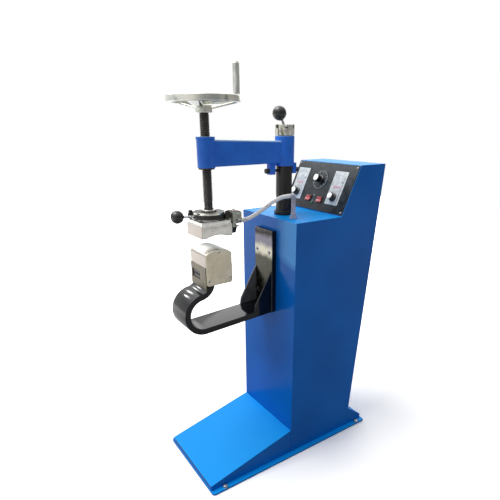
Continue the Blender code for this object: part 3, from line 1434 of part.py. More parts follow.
def catmull_rom(points, steps):
    """Points on a smooth curve through the given ones."""
    anchors = [Vector(point) for point in points]
    first = anchors[0] * 2 - anchors[1]
    last = anchors[-1] * 2 - anchors[-2]
    anchors = [first, *anchors, last]
    curve = []
    for index in range(1, len(anchors) - 2):
        a, b, c, d = anchors[index - 1:index + 3]
        for step in range(steps):
            t = step / steps
            curve.append(0.5 * (2 * b + (c - a) * t + (2 * a - 5 * b + 4 * c - d) * t ** 2
                                + (3 * b - a - 3 * c + d) * t ** 3))
    curve.append(anchors[-2])
    return curve


class Route:
    """A smooth curve that can be read at a distance along it."""

    def __init__(self, points):
        self.points = catmull_rom(points, HOSE_SAMPLE_STEPS)
        self.marks = [0.0]
        for start, end in zip(self.points, self.points[1:]):
            self.marks.append(self.marks[-1] + (end - start).length)
        self.length = self.marks[-1]

    def at(self, distance):
        for index in range(1, len(self.marks)):
            if self.marks[index] >= distance:
                break
        start, end = self.points[index - 1], self.points[index]
        share = (distance - self.marks[index - 1]) / (self.marks[index] - self.marks[index - 1])
        return start.lerp(end, share)

    def direction(self, distance):
        low = max(distance - HOSE_STUB, 0)
        high = min(distance + HOSE_STUB, self.length)
        return (self.at(high) - self.at(low)).normalized()

    def marks_between(self, start, end, diameter):
        """Distances from start to end, with short stubs at both ends."""
        inner = end - start - 2 * HOSE_STUB
        steps = max(2, round(inner / (HOSE_POINT_DIAMETERS * diameter)))
        middle = [start + HOSE_STUB + inner * i / steps for i in range(steps + 1)]
        return [start, *middle, end]

    def run(self, marks):
        """Points at the marks, whose stubs are straight and square to the ends."""
        points = [self.at(mark) for mark in marks]
        points[1] = points[0] + self.direction(marks[0]) * (marks[1] - marks[0])
        points[-2] = points[-1] - self.direction(marks[-1]) * (marks[-1] - marks[-2])
        return points


def hose_limits(route):
    """Distances where the sleeve ends and where the two hose runs meet."""
    arm_end = route.length - HOSE_RUN_LENGTH
    return arm_end - HOSE_RUN_LENGTH, arm_end


def build_hose():
    route = Route(HOSE_ROUTE)
    sleeve_end, arm_end = hose_limits(route)
    gap = SEAT_GAP
    marks = route.marks_between(gap, sleeve_end - gap, HOSE_DIAMETER)
    taper = (SLEEVE_START_DIAMETER - SLEEVE_END_DIAMETER) / SLEEVE_START_DIAMETER
    radii = [1 - taper * mark / sleeve_end for mark in marks]
    sleeve = tube("hose_sleeve", route.run(marks), SLEEVE_START_DIAMETER, radii)
    finish(sleeve, WHITE_PLASTIC)
    limits = {
        "hose_run_arm": (sleeve_end + gap, arm_end - gap),
        "hose_run_root": (arm_end, route.length - gap),
    }
    for name, (start, end) in limits.items():
        marks = route.marks_between(start, end, HOSE_DIAMETER)
        finish(tube(name, route.run(marks), HOSE_DIAMETER), WHITE_PLASTIC)


def build_riser():
    """The pipe through the deck, with an elbow that takes the hose and a gland at its foot."""
    _, end_y, end_z = HOSE_ROUTE[-1]
    centre_y = RISER_Y - RISER_BEND_RADIUS
    centre_z = end_z - RISER_BEND_RADIUS
    bend = arc((centre_y, centre_z), RISER_BEND_RADIUS, 0, math.pi / 2, RISER_BEND_STEPS)
    bottom = DECK_HEIGHT - RISER_DEPTH
    points = [(RISER_X, RISER_Y, bottom)] + [(RISER_X, y, z) for y, z in bend]
    points.append((RISER_X, end_y, end_z))
    riser = tube("hose_riser", points, RISER_DIAMETER)
    profile = gland_profile(0, DECK_GLAND_DIAMETER, DECK_GLAND_HEX_HEIGHT, DECK_GLAND_HEIGHT)
    gland = turned("deck_gland", profile, SMALL_STEPS)
    join(riser, place(gland, (RISER_X, RISER_Y, DECK_HEIGHT + SEAT_GAP)))
    finish(riser, GREY_PLASTIC)


# Lower arm and its mount

def mount_bolt_places():
    half = MOUNT_BOLT_SPREAD / 2
    return [(x, z) for z in (MOUNT_BOLT_UPPER, MOUNT_BOLT_LOWER) for x in (-half, half)]


def mount_bolt_holes(name):
    """Holes along Y for the four bolts that hold the mount plate."""
    tools = []
    for index, (x, z) in enumerate(mount_bolt_places()):
        hole = rod(f"{name}_{index}", MOUNT_BOLT_SHANK + 2 * SEAT_GAP,
                   -MOUNT_THICKNESS - CUT_OVERRUN, CHANNEL_Y + CHANNEL_WALL + CUT_OVERRUN)
        tools.append(place(hole, (x, 0, z), (-math.pi / 2, 0, 0)))
    return tools


def build_mount_plate():
    half = MOUNT_WIDTH / 2
    mount = span_box("arm_mount_plate", (-half, -MOUNT_THICKNESS, MOUNT_BOTTOM),
                     (half, -SEAT_GAP, MOUNT_TOP))
    add_bevel(mount, MOUNT_EDGE)
    cut(mount, *mount_bolt_holes("mount_bolt_hole"))
    recess_floor = MOUNT_BOLT_RECESS - MOUNT_THICKNESS
    for index, (x, z) in enumerate(mount_bolt_places()):
        recess = rod(f"mount_recess_{index}", MOUNT_BOLT_HEAD + 2 * RUNNING_GAP,
                     -MOUNT_THICKNESS - CUT_OVERRUN, recess_floor)
        cut(mount, place(recess, (x, 0, z), (-math.pi / 2, 0, 0)))
    finish(mount, STEEL)


def bar_middle_height(y):
    """Height of the middle line of the bar's straight stretch at a Y."""
    return BAR_ROOT_HEIGHT + (y + MOUNT_THICKNESS) * math.tan(BAR_SLOPE)


def build_gussets():
    half_step = BAR_HALF / math.cos(BAR_SLOPE)
    back = -MOUNT_THICKNESS - SEAT_GAP
    foot = -MOUNT_THICKNESS - GUSSET_REACH
    nose = -MOUNT_THICKNESS - GUSSET_NOSE_REACH

    def bar_top(y):
        return bar_middle_height(y) + half_step + SEAT_GAP

    outline = [(back, GUSSET_TOP), (foot, GUSSET_FOOT_HEIGHT), (nose, bar_top(nose)),
               (back, bar_top(back))]
    side = (BAR_WIDTH - GUSSET_THICKNESS) / 2
    for name, x in (("gusset_left", -side), ("gusset_right", side)):
        finish(side_plate(name, outline, GUSSET_THICKNESS, x), BLACK_PAINT)


def hook_centre():
    """Y and Z of the middle of the hook's arc, above the end of the straight stretch."""
    foot_y = BAR_HOOK_Y + BAR_HOOK_RADIUS * math.sin(BAR_SLOPE)
    return BAR_HOOK_Y, bar_middle_height(foot_y) + BAR_HOOK_RADIUS * math.cos(BAR_SLOPE)


def neck_centre():
    """Y and Z of the middle of the neck's arc, in front of the bar's upright end."""
    hook_y, hook_z = hook_centre()
    reach = BAR_HOOK_RADIUS + BAR_NECK_RADIUS
    return (hook_y + reach * math.cos(BAR_NECK_ANGLE), hook_z + reach * math.sin(BAR_NECK_ANGLE))


def bar_side(offset):
    """One side of the bent bar, at an offset outside its middle line.

    The straight stretch meets the hook at a tangent, and the neck turns back to the vertical.
    """
    quarter = math.pi / 2
    hook_start = BAR_SLOPE - quarter
    start_y = -MOUNT_THICKNESS - SEAT_GAP
    centre_y, centre_z = hook_centre()
    radius = BAR_HOOK_RADIUS + offset
    root = (start_y, bar_middle_height(start_y) - offset / math.cos(BAR_SLOPE))
    sweep = 2 * math.pi - (BAR_NECK_ANGLE - hook_start)
    hook_steps = max(4, round(sweep / BAR_ARC_STEP))
    hook = arc((centre_y, centre_z), radius, hook_start, hook_start - sweep, hook_steps)
    neck_y, neck_z = neck_centre()
    neck_steps = max(3, round(BAR_NECK_ANGLE / BAR_ARC_STEP))
    neck = arc((neck_y, neck_z), BAR_NECK_RADIUS - offset, BAR_NECK_ANGLE - math.pi, 0, neck_steps)
    end = (neck_y + BAR_NECK_RADIUS - offset, BAR_END_HEIGHT)
    return [root] + hook + neck[1:] + [end]


def build_lower_arm():
    outline = bar_side(BAR_HALF) + bar_side(-BAR_HALF)[::-1]
    bar = side_plate("lower_arm", outline, BAR_WIDTH)
    add_bevel(bar, BAR_EDGE)
    finish(bar, BLACK_PAINT)


# Lower heating plate

def crown_outline(inset=0.0):
    """The top of the lower block in Y and Z, front to back.

    A flat arc about X ends in a tight shoulder at each side.
    """
    half = LOWER_BLOCK_DEPTH / 2 - LOWER_SHOULDER_RADIUS
    centre_z = LOWER_BLOCK_TOP - LOWER_CROWN_RADIUS
    spread = math.asin(half / (LOWER_CROWN_RADIUS - LOWER_SHOULDER_RADIUS))
    shoulder_z = centre_z + half / math.tan(spread)
    quarter = math.pi / 2
    shoulder = LOWER_SHOULDER_RADIUS - inset
    front = arc((LOWER_BLOCK_Y - half, shoulder_z), shoulder, 2 * quarter, quarter + spread,
                LOWER_SHOULDER_STEPS)
    top = arc((LOWER_BLOCK_Y, centre_z), LOWER_CROWN_RADIUS - inset, quarter + spread,
              quarter - spread, LOWER_CROWN_STEPS)
    back = arc((LOWER_BLOCK_Y + half, shoulder_z), shoulder, quarter - spread, 0,
               LOWER_SHOULDER_STEPS)
    return front + top[1:-1] + back


def build_lower_block():
    half = LOWER_BLOCK_DEPTH / 2
    outline = [(LOWER_BLOCK_Y + half, LOWER_BLOCK_BOTTOM), (LOWER_BLOCK_Y - half, LOWER_BLOCK_BOTTOM)]
    outline += crown_outline()
    block = side_plate("lower_heat_block", outline[::-1], LOWER_BLOCK_LENGTH)
    add_bevel(block, LOWER_EDGE)
    cut(block, *element_bores("lower_bore", LOWER_INSERT_AXIS))
    screw_y, screw_z = heater_screw_places()[0]
    for index, x in enumerate((-LOWER_BLOCK_LENGTH / 2, LOWER_BLOCK_LENGTH / 2)):
        hole = rod(f"crown_screw_hole_{index}", COVER_SCREW_SHANK + 2 * SEAT_GAP,
                   -COVER_SCREW_LENGTH, COVER_SCREW_LENGTH, TINY_STEPS)
        cut(block, place(hole, (x, screw_y, screw_z), (0, math.pi / 2, 0)))
    finish(block, ALUMINIUM)


def build_end_covers():
    """Two covers over the ends of the lower block and of the wiring space, with their screws."""
    half = LOWER_BLOCK_DEPTH / 2 - END_COVER_INSET
    front = LOWER_BLOCK_Y - half
    back = LOWER_BLOCK_Y + half
    corner = END_COVER_CORNER
    quarter = math.pi / 2
    outline = arc((front + corner, END_COVER_BOTTOM + corner), corner, 2 * quarter, 3 * quarter,
                  END_COVER_CORNER_STEPS)
    outline += arc((back - corner, END_COVER_BOTTOM + corner), corner, 3 * quarter, 4 * quarter,
                   END_COVER_CORNER_STEPS)
    outline += crown_outline(END_COVER_INSET)[::-1]
    side = LOWER_BLOCK_LENGTH / 2 + SEAT_GAP + END_COVER_THICKNESS / 2
    for name, direction in (("end_cover_left", -1), ("end_cover_right", 1)):
        cover = side_plate(name, outline, END_COVER_THICKNESS, direction * side)
        seat = direction * (side + END_COVER_THICKNESS / 2)
        for index, (y, z) in enumerate(heater_screw_places()):
            screw = pan_screw(f"{name}_screw_{index}")
            join(cover, place(screw, (seat, y, z), (0, direction * quarter, 0)))
        finish(cover, COVER_STEEL)


def skirt_bottom():
    """The lowest height at which the front skirt clears the neck of the lower arm."""
    neck_y, neck_z = neck_centre()
    inner = LOWER_BLOCK_Y - LOWER_BLOCK_DEPTH / 2 - SKIRT_STANDOFF + SKIRT_THICKNESS
    radius = (BAR_NECK_RADIUS - BAR_HALF) * math.cos(BAR_ARC_STEP) - SEAT_GAP
    run = inner + SEAT_GAP - neck_y
    return neck_z - math.sqrt(max(radius ** 2 - run ** 2, 0))


def build_skirt(name, side, bottom):
    """A cover below the block, with two tabs that the screws of the end covers hold."""
    half_x = LOWER_BLOCK_LENGTH / 2 - SEAT_GAP
    top = LOWER_BLOCK_BOTTOM - SEAT_GAP
    outer = LOWER_BLOCK_Y + side * (LOWER_BLOCK_DEPTH / 2 + SKIRT_STANDOFF)
    inner = outer - side * SKIRT_THICKNESS
    tab = inner - side * SKIRT_TAB
    middle = (outer + inner) / 2
    wall = span_box(name, (-half_x, min(outer, inner), bottom), (half_x, max(outer, inner), top))
    tab_low = END_COVER_BOTTOM + CORNER_SCREW_RISE - 2 * COVER_SCREW_SHANK
    for index, x in enumerate((-half_x, half_x - SKIRT_THICKNESS)):
        wing = span_box(f"{name}_tab_{index}", (x, min(tab, middle), tab_low),
                        (x + SKIRT_THICKNESS, max(tab, middle), top))
        join(wall, wing)
    for index, (y, z) in enumerate(heater_screw_places()[1:]):
        hole = rod(f"{name}_hole_{index}", COVER_SCREW_SHANK + 2 * SEAT_GAP, -LOWER_BLOCK_LENGTH,
                   LOWER_BLOCK_LENGTH, TINY_STEPS)
        cut(wall, place(hole, (0, y, z), (0, math.pi / 2, 0)))
    finish(wall, COVER_STEEL)
    return wall


def build_skirts():
    """The front and rear skirts. The front one has a window for the heater's terminal."""
    bottom = skirt_bottom()
    outer = LOWER_BLOCK_Y - LOWER_BLOCK_DEPTH / 2 - SKIRT_STANDOFF
    window = span_box("terminal_window", (WINDOW_LEFT, outer - CUT_OVERRUN, WINDOW_BOTTOM),
                      (WINDOW_RIGHT, outer + SKIRT_THICKNESS + CUT_OVERRUN, WINDOW_TOP))
    cut(build_skirt("front_skirt", -1, bottom), window)
    build_skirt("rear_skirt", 1, END_COVER_BOTTOM + REAR_SKIRT_RISE)


def build_heater_terminal():
    """The dark terminal block that fills the window of the front skirt from behind."""
    front = LOWER_BLOCK_Y - LOWER_BLOCK_DEPTH / 2 - SKIRT_STANDOFF + SKIRT_THICKNESS + SEAT_GAP
    terminal = span_box(
        "heater_terminal",
        (WINDOW_LEFT - TERMINAL_MARGIN / 2, front, WINDOW_BOTTOM - TERMINAL_MARGIN),
        (WINDOW_RIGHT + TERMINAL_MARGIN, front + TERMINAL_DEPTH, WINDOW_TOP + TERMINAL_MARGIN),
    )
    finish(terminal, BLACK_PLASTIC)


# Control panel

def knob_places():
    return [(LEFT_LABEL_X, KNOB_RISE), (RIGHT_LABEL_X, KNOB_RISE)]


def panel_hole(name, diameter, x, t):
    hole = rod(name, diameter, -CUT_OVERRUN, PANEL_THICKNESS + 2 * CUT_OVERRUN)
    return place(hole, (x, t, 0), parent=PANEL_FRAME)


def build_panel_plate():
    """The black panel over the slope, with its holes and its four screws."""
    half = CABINET_WIDTH / 2 - PANEL_SIDE_MARGIN
    panel = span_box("panel_plate", (-half, PANEL_LOW_MARGIN, SEAT_GAP),
                     (half, PANEL_LENGTH - PANEL_HIGH_MARGIN, SEAT_GAP + PANEL_THICKNESS))
    place(panel, parent=PANEL_FRAME)
    shaft_hole = DIAL_BORE
    for index, (x, t) in enumerate(knob_places() + [(TIMER_X, TIMER_RISE)]):
        cut(panel, panel_hole(f"shaft_hole_{index}", shaft_hole, x, t))
    for index, x in enumerate((LEFT_ROCKER_X, RIGHT_ROCKER_X)):
        size = (cup_width() + 2 * SEAT_GAP, cup_height() + 2 * SEAT_GAP,
                2 * PANEL_THICKNESS + 2 * CUT_OVERRUN)
        cut(panel, place(box(f"rocker_hole_{index}", size), (x, ROCKER_RISE, 0),
                         parent=PANEL_FRAME))
    cut(panel, panel_hole("lamp_hole", LAMP_BODY_DIAMETER + 2 * SEAT_GAP, LAMP_X, LAMP_RISE))
    for index, (x, t) in enumerate(panel_screw_places()):
        screw = pan_screw(f"panel_screw_{index}")
        join(panel, place(screw, (x, t, SEAT_GAP + PANEL_THICKNESS), parent=PANEL_FRAME))
        hole = rod(f"slope_screw_hole_{index}", COVER_SCREW_SHANK + 2 * RUNNING_GAP,
                   -COVER_SCREW_LENGTH - CUT_OVERRUN, SEAT_GAP / 2, TINY_STEPS)
        cut(bpy.data.objects["cabinet_shell"], place(hole, (x, t, 0), parent=PANEL_FRAME))
    finish(panel, BLACK_PAINT)


def build_control(name, x, t, scale, width, depth):
    """A control's body behind the panel, joined by its bush to its scale plate and its shaft."""
    body = box(name, (width, width, depth), (0, 0, -depth / 2))
    place(body, (x, t, 0), parent=PANEL_FRAME)
    plate_top = PANEL_THICKNESS + 2 * SEAT_GAP + LABEL_THICKNESS
    bush = rod(f"{name}_bush", DIAL_BORE - 2 * SEAT_GAP, -depth / 2, plate_top - SEAT_GAP)
    shaft = rod(f"{name}_shaft", SHAFT_DIAMETER, -depth / 2, plate_top + SHAFT_REACH)
    for piece in (bush, shaft):
        place(piece, (x, t, 0), parent=PANEL_FRAME)
    join(body, bush, place(scale, parent=PANEL_FRAME), shaft)
    finish(body, WHITE_PLASTIC)


def build_controls():
    """The two thermostats with oblong scale plates, and the timer with a round one."""
    bottom = PANEL_THICKNESS + 2 * SEAT_GAP
    top = bottom + LABEL_THICKNESS
    for name, (x, t) in zip(("thermostat_left", "thermostat_right"), knob_places()):
        scale = span_box(f"{name}_scale", (x - LABEL_WIDTH / 2, LABEL_BOTTOM, bottom),
                         (x + LABEL_WIDTH / 2, LABEL_TOP, top))
        build_control(name, x, t, scale, BODY_WIDTH, BODY_DEPTH)
    dial = rod("timer_dial", DIAL_DIAMETER, bottom, top, ROUND_STEPS)
    dial.data.transform(Matrix.Translation((TIMER_X, TIMER_RISE, 0)))
    build_control("timer_unit", TIMER_X, TIMER_RISE, dial, TIMER_BODY_WIDTH, TIMER_BODY_DEPTH)


def build_knob(name, x, t, diameter, top_diameter, height):
    """A knob with a skirt and a raised pointer, on its own shaft."""
    base = PANEL_THICKNESS + LABEL_THICKNESS + 2 * SEAT_GAP + RUNNING_GAP
    bore = SHAFT_DIAMETER / 2 + RUNNING_GAP
    skirt = diameter / 2
    top = top_diameter / 2
    profile = [
        (0, height), (top - KNOB_EDGE, height), (top, height - KNOB_EDGE),
        (top, KNOB_SKIRT_HEIGHT + KNOB_EDGE), (skirt, KNOB_SKIRT_HEIGHT), (skirt, 0), (bore, 0),
        (bore, KNOB_BORE_DEPTH), (0, KNOB_BORE_DEPTH),
    ]
    knob = place(turned(name, profile, ROUND_STEPS), (x, t, base), parent=PANEL_FRAME)
    pointer = span_box(f"{name}_pointer", (-KNOB_POINTER_WIDTH / 2, top / 2, height / 2),
                       (KNOB_POINTER_WIDTH / 2, top + KNOB_POINTER_WIDTH, height + SEAT_GAP))
    join(knob, place(pointer, (x, t, base), parent=PANEL_FRAME))
    finish(knob, BLACK_PLASTIC)


def build_knobs():
    for name, (x, t) in zip(("thermostat_knob_left", "thermostat_knob_right"), knob_places()):
        build_knob(name, x, t, KNOB_DIAMETER, KNOB_TOP_DIAMETER, KNOB_HEIGHT)
    build_knob("timer_knob", TIMER_X, TIMER_RISE, TIMER_KNOB_DIAMETER, TIMER_KNOB_TOP_DIAMETER,
               TIMER_KNOB_HEIGHT)


def cup_width():
    return BEZEL_WIDTH - 2 * BEZEL_FRAME + 2 * CUP_WALL


def cup_height():
    return BEZEL_HEIGHT - 2 * BEZEL_FRAME + 2 * CUP_WALL


def rocker_sizes():
    """Width and height of the rocker inside its cup."""
    width = cup_width() - 2 * CUP_WALL - 2 * ROCKER_CLEARANCE
    height = cup_height() - 2 * CUP_WALL - 2 * ROCKER_CLEARANCE
    return width, height


def build_switch_housings():
    """The frames of the rocker switches, each with the cup of its body behind the panel."""
    base = PANEL_THICKNESS + 2 * SEAT_GAP
    rows = (("switch_housing_left", LEFT_ROCKER_X), ("switch_housing_right", RIGHT_ROCKER_X))
    for name, x in rows:
        frame = span_box(name, (-BEZEL_WIDTH / 2, -BEZEL_HEIGHT / 2, base),
                         (BEZEL_WIDTH / 2, BEZEL_HEIGHT / 2, base + BEZEL_THICKNESS))
        cup = span_box(f"{name}_cup", (-cup_width() / 2, -cup_height() / 2, base - CUP_DEPTH),
                       (cup_width() / 2, cup_height() / 2, base + BEZEL_THICKNESS / 2))
        hollow = span_box(
            f"{name}_hollow",
            (CUP_WALL - cup_width() / 2, CUP_WALL - cup_height() / 2, base - CUP_DEPTH / 2),
            (cup_width() / 2 - CUP_WALL, cup_height() / 2 - CUP_WALL,
             base + BEZEL_THICKNESS + CUT_OVERRUN),
        )
        for piece in (frame, cup, hollow):
            place(piece, (x, ROCKER_RISE, 0), parent=PANEL_FRAME)
        finish(cut(join(frame, cup), hollow), BLACK_PLASTIC)


def build_rockers():
    """Two rockers that tip about a pin across their middle, at rest in their off position."""
    width, height = rocker_sizes()
    half = height / 2
    pivot = PANEL_THICKNESS + BEZEL_THICKNESS + 2 * SEAT_GAP - ROCKER_PIVOT_DEPTH
    crown = ROCKER_PIVOT_DEPTH + ROCKER_CROWN
    outline = [
        (-half, -ROCKER_SINK), (half, -ROCKER_SINK), (half, crown),
        (0, ROCKER_PIVOT_DEPTH + ROCKER_VALLEY), (-half, crown),
    ]
    pin_half = cup_width() / 2 - CUP_WALL - SEAT_GAP
    for name, x in (("rocker_left", LEFT_ROCKER_X), ("rocker_right", RIGHT_ROCKER_X)):
        mesh = mesh_from(plate(name + "_outline", outline, width))
        mesh.transform(Matrix.Rotation(math.pi / 2, 4, "Z") @ Matrix.Rotation(math.pi / 2, 4, "X"))
        rocker = new_object(name, mesh)
        place(rocker, (x, ROCKER_RISE, pivot), (-ROCKER_TILT, 0, 0), PANEL_FRAME)
        pin = rod(name + "_pin", ROCKER_PIN_DIAMETER, -pin_half, pin_half, TINY_STEPS)
        join(rocker, place(pin, rotation=(0, math.pi / 2, 0), parent=rocker))
        finish(rocker, RED_PLASTIC)


def build_lamp():
    base = PANEL_THICKNESS + 2 * SEAT_GAP
    lens = LAMP_DIAMETER / 2
    body = LAMP_BODY_DIAMETER / 2
    lamp = turned("indicator_lamp", [
        (0, base + LAMP_HEIGHT), (lens * 0.6, base + LAMP_HEIGHT * 0.85),
        (lens, base + LAMP_HEIGHT / 2), (lens, base), (body, base),
        (body, base - LAMP_BODY_LENGTH), (0, base - LAMP_BODY_LENGTH),
    ], SMALL_STEPS)
    finish(place(lamp, (LAMP_X, LAMP_RISE, 0), parent=PANEL_FRAME), GREEN_LENS)


PANEL_FRAME = new_empty("panel_frame", (0, DECK_DEPTH, DECK_HEIGHT), (PANEL_ANGLE, 0, 0))
BACK_FRAME = new_empty("back_frame", (0, BACK_FOOT, LEDGE_HEIGHT),
                       (math.pi / 2 + BACK_LEAN, 0, math.pi))
ARM_AXIS = new_empty("arm_axis", (0, COLUMN_Y, 0))
CLAMP_AXIS = new_empty("clamp_axis", (0, COLUMN_Y, 0))
PRESS_AXIS = new_empty("press_axis", (0, -ARM_REACH, 0), parent=ARM_AXIS)
UPPER_INSERT_AXIS = new_empty("upper_insert_axis", (0, 0, UPPER_ELEMENT_HEIGHT),
                              (-math.pi / 2, 0, 0), PRESS_AXIS)
LOWER_INSERT_AXIS = new_empty("lower_insert_axis", (0, LOWER_BLOCK_Y, LOWER_ELEMENT_HEIGHT),
                              (-math.pi / 2, 0, math.pi / 2))

build_base_plate()
build_cabinet()
build_foot_cover()
build_rear_ledge()
build_rear_panel()
build_support_channel()
build_column()
build_column_ring()
build_castle_nut()
build_clamp_lever()
build_clamp_ball()
build_swing_arm()
build_column_bush()
build_stop_bolts()
build_spindle_nut()
build_spindle()
build_handwheel()
build_grip()
build_thrust_collar()
build_thrust_bearing()
build_swivel_disc()
build_disc_ring()
build_disc_bolts()
build_head_plate()
build_upper_block()
build_element("upper_heater_element", UPPER_INSERT_AXIS)
build_head_lever()
build_head_ball()
build_terminal_box()
build_hose_gland()
build_terminal_boot()
build_hose()
build_riser()
build_mount_plate()
build_gussets()
build_lower_arm()
build_lower_block()
build_element("lower_heater_element", LOWER_INSERT_AXIS)
build_end_covers()
build_skirts()
build_heater_terminal()
build_panel_plate()
build_controls()
build_knobs()
build_switch_housings()
build_rockers()
build_lamp()
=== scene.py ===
import math

import bmesh
import bpy
import numpy as np
from mathutils import Matrix, Vector


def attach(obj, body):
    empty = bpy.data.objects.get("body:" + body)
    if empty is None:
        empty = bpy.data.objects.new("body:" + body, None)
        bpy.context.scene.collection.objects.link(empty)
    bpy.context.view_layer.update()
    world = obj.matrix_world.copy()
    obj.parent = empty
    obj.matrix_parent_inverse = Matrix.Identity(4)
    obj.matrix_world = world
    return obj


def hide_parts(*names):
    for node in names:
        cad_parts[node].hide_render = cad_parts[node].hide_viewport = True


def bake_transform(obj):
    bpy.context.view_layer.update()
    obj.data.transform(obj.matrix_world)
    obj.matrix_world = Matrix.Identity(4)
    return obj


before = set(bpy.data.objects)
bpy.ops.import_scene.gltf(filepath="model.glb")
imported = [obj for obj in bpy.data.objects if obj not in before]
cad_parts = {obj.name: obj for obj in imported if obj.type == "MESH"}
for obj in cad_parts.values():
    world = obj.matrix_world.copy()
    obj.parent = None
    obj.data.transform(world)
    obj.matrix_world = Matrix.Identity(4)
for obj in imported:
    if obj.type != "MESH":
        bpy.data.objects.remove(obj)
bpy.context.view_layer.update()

# The view. A camera held at chest height, in front of the machine and to its right, that
# looks down a little. Its frame is shifted up, so that the grip of the handwheel is in it.
camera_place = (1.3378, -0.9418, 1.3157)
heading, pitch, roll = np.radians([55.837, -21.841, -0.244])
ahead = np.array([-math.sin(heading) * math.cos(pitch), math.cos(heading) * math.cos(pitch),
                  math.sin(pitch)])
level = np.array([math.cos(heading), math.sin(heading), 0.0])
above = np.cross(level, ahead)
lens = bpy.data.cameras.new("view")
lens.sensor_width, lens.lens = 36.0, 31.15
lens.shift_x, lens.shift_y = -0.0211, 0.0989
view = bpy.data.objects.new("view", lens)
bpy.context.collection.objects.link(view)
axes = np.stack([math.cos(roll) * level + math.sin(roll) * above,
                 math.cos(roll) * above - math.sin(roll) * level, -ahead], 1)
view.matrix_world = Matrix.Translation(camera_place) @ Matrix(axes.tolist()).to_4x4()
bpy.context.scene.camera = view
bpy.context.scene.view_settings.view_transform = "Standard"

# Hose from the deck to the press head: soft white PVC round the heater's wires, 15 mm across.
# It shows from end to end. Its last stretch is a moulded sleeve, thicker towards the gland,
# and it is cut where the arm, the press and the head turn against each other.
hose_anchors = np.array([
    (0.0300, -0.1410, 1.0050), (0.0300, -0.1310, 1.0050), (0.0310, -0.1200, 1.0057),
    (0.0362, -0.1040, 1.0106), (0.0467, -0.0805, 1.0248), (0.0605, -0.0546, 1.0446),
    (0.0751, -0.0285, 1.0654), (0.0879, -0.0019, 1.0797), (0.0930, 0.0105, 1.0822),
    (0.0949, 0.0210, 1.0830), (0.0950, 0.0300, 1.0830),
])
hose_diameter, hose_run = 0.015, 0.0915
sleeve_diameters = (0.0195, 0.0165)
rib_pitch, rib_height = 0.004, 0.0004
seat_gap = 0.0003
weld, crease = 0.000002, math.radians(32)


def smooth_route(anchors, steps):
    """A Catmull-Rom curve: between b and c, with a before and d after, it is half of
    2b + (c-a)t + (2a-5b+4c-d)t squared + (3b-a-3c+d)t cubed."""
    ends = [2 * anchors[:1] - anchors[1:2], anchors, 2 * anchors[-1:] - anchors[-2:-1]]
    p = np.concatenate(ends)[:, None]
    a, b, c, d = p[:-3], p[1:-2], p[2:-1], p[3:]
    t = (np.arange(steps) / steps)[None, :, None]
    curve = 0.5 * (2 * b + (c - a) * t + (2 * a - 5 * b + 4 * c - d) * t ** 2
                   + (3 * b - a - 3 * c + d) * t ** 3)
    return np.concatenate([curve.reshape(-1, 3), anchors[-1:]])


def swept(section, path, up):
    """Rings of points: a section of (side, rise) pairs carried along a path. Side is square to
    the path and to the up direction, and rise is square to side and to the path."""
    run = np.gradient(path, axis=0)
    run /= np.linalg.norm(run, axis=1, keepdims=True)
    side = np.cross(run, up)
    side /= np.linalg.norm(side, axis=1, keepdims=True)
    rise = np.cross(side, run)
    section = np.broadcast_to(section, (len(path), *np.shape(section)[-2:]))
    return path[:, None] + section[..., :1] * side[:, None] + section[..., 1:] * rise[:, None]


def round_section(radius, around=28):
    """A circle: radius times the cosine and sine of an angle. Radius may be one for each ring."""
    turn = np.linspace(0, 2 * math.pi, around, endpoint=False)
    circle = np.stack([np.cos(turn), np.sin(turn)], -1)
    return np.reshape(radius, (-1, 1, 1)) * circle


def surface(rings, wrap=False):
    """Points and faces of a closed surface. Each ring is joined to the next by quads. The end
    rings are capped, or with wrap the last ring is joined to the first."""
    levels, around = rings.shape[:2]
    row = np.arange(levels if wrap else levels - 1)[:, None] * around
    column = np.arange(around)[None]
    beside = (column + 1) % around
    over = (row + around) % (levels * around)
    quads = np.stack([row + column, row + beside, over + beside, over + column], -1)
    faces = quads.reshape(-1, 4).tolist()
    if not wrap:
        cap = np.arange(around)
        faces += [cap[::-1].tolist(), (cap + (levels - 1) * around).tolist()]
    return rings.reshape(-1, 3), faces


def made_from(work, name):
    """The object of a bmesh. It is smooth, but edges sharper than the crease stay sharp."""
    mesh = bpy.data.meshes.new(name)
    work.to_mesh(mesh)
    work.free()
    mesh.shade_smooth()
    mesh.set_sharp_from_angle(angle=crease)
    made = bpy.data.objects.new(name, mesh)
    bpy.context.collection.objects.link(made)
    return made


def build(name, *surfaces):
    """An object from surfaces. Points closer than the weld are merged, and faces are turned
    outwards."""
    work = bmesh.new()
    for points, faces in surfaces:
        part = bpy.data.meshes.new(name)
        part.from_pydata(points, [], faces)
        work.from_mesh(part)
        bpy.data.meshes.remove(part)
    bmesh.ops.remove_doubles(work, verts=work.verts, dist=weld)
    bmesh.ops.recalc_face_normals(work, faces=work.faces)
    return made_from(work, name)


def linear(shade):
    """An sRGB hex colour as linear shares: ((c + 0.055) / 1.055) to the power 2.4, and
    c / 12.92 where it is dark."""
    c = np.array([int(shade[at:at + 2], 16) / 255 for at in (1, 3, 5)])
    c = np.where(c <= 0.04045, c / 12.92, ((c + 0.055) / 1.055) ** 2.4)
    return (*c.tolist(), 1.0)


def add(tree, kind, inputs=None, **settings):
    """Adds a node. An input is a value or an output to link from, and settings are options."""
    made = tree.nodes.new("ShaderNode" + kind)
    for option, value in settings.items():
        setattr(made, option, value)
    for socket, value in (inputs or {}).items():
        if isinstance(value, bpy.types.NodeSocket):
            tree.links.new(value, made.inputs[socket])
        else:
            made.inputs[socket].default_value = value
    return made


def new_material(name, **sockets):
    """A Principled material. What is the same all over is set on the shader's own sockets."""
    material = bpy.data.materials.new(name)
    material.use_nodes = True
    shader = material.node_tree.nodes["Principled BSDF"]
    for socket, value in sockets.items():
        shader.inputs[socket.replace("_", " ")].default_value = value
    return material


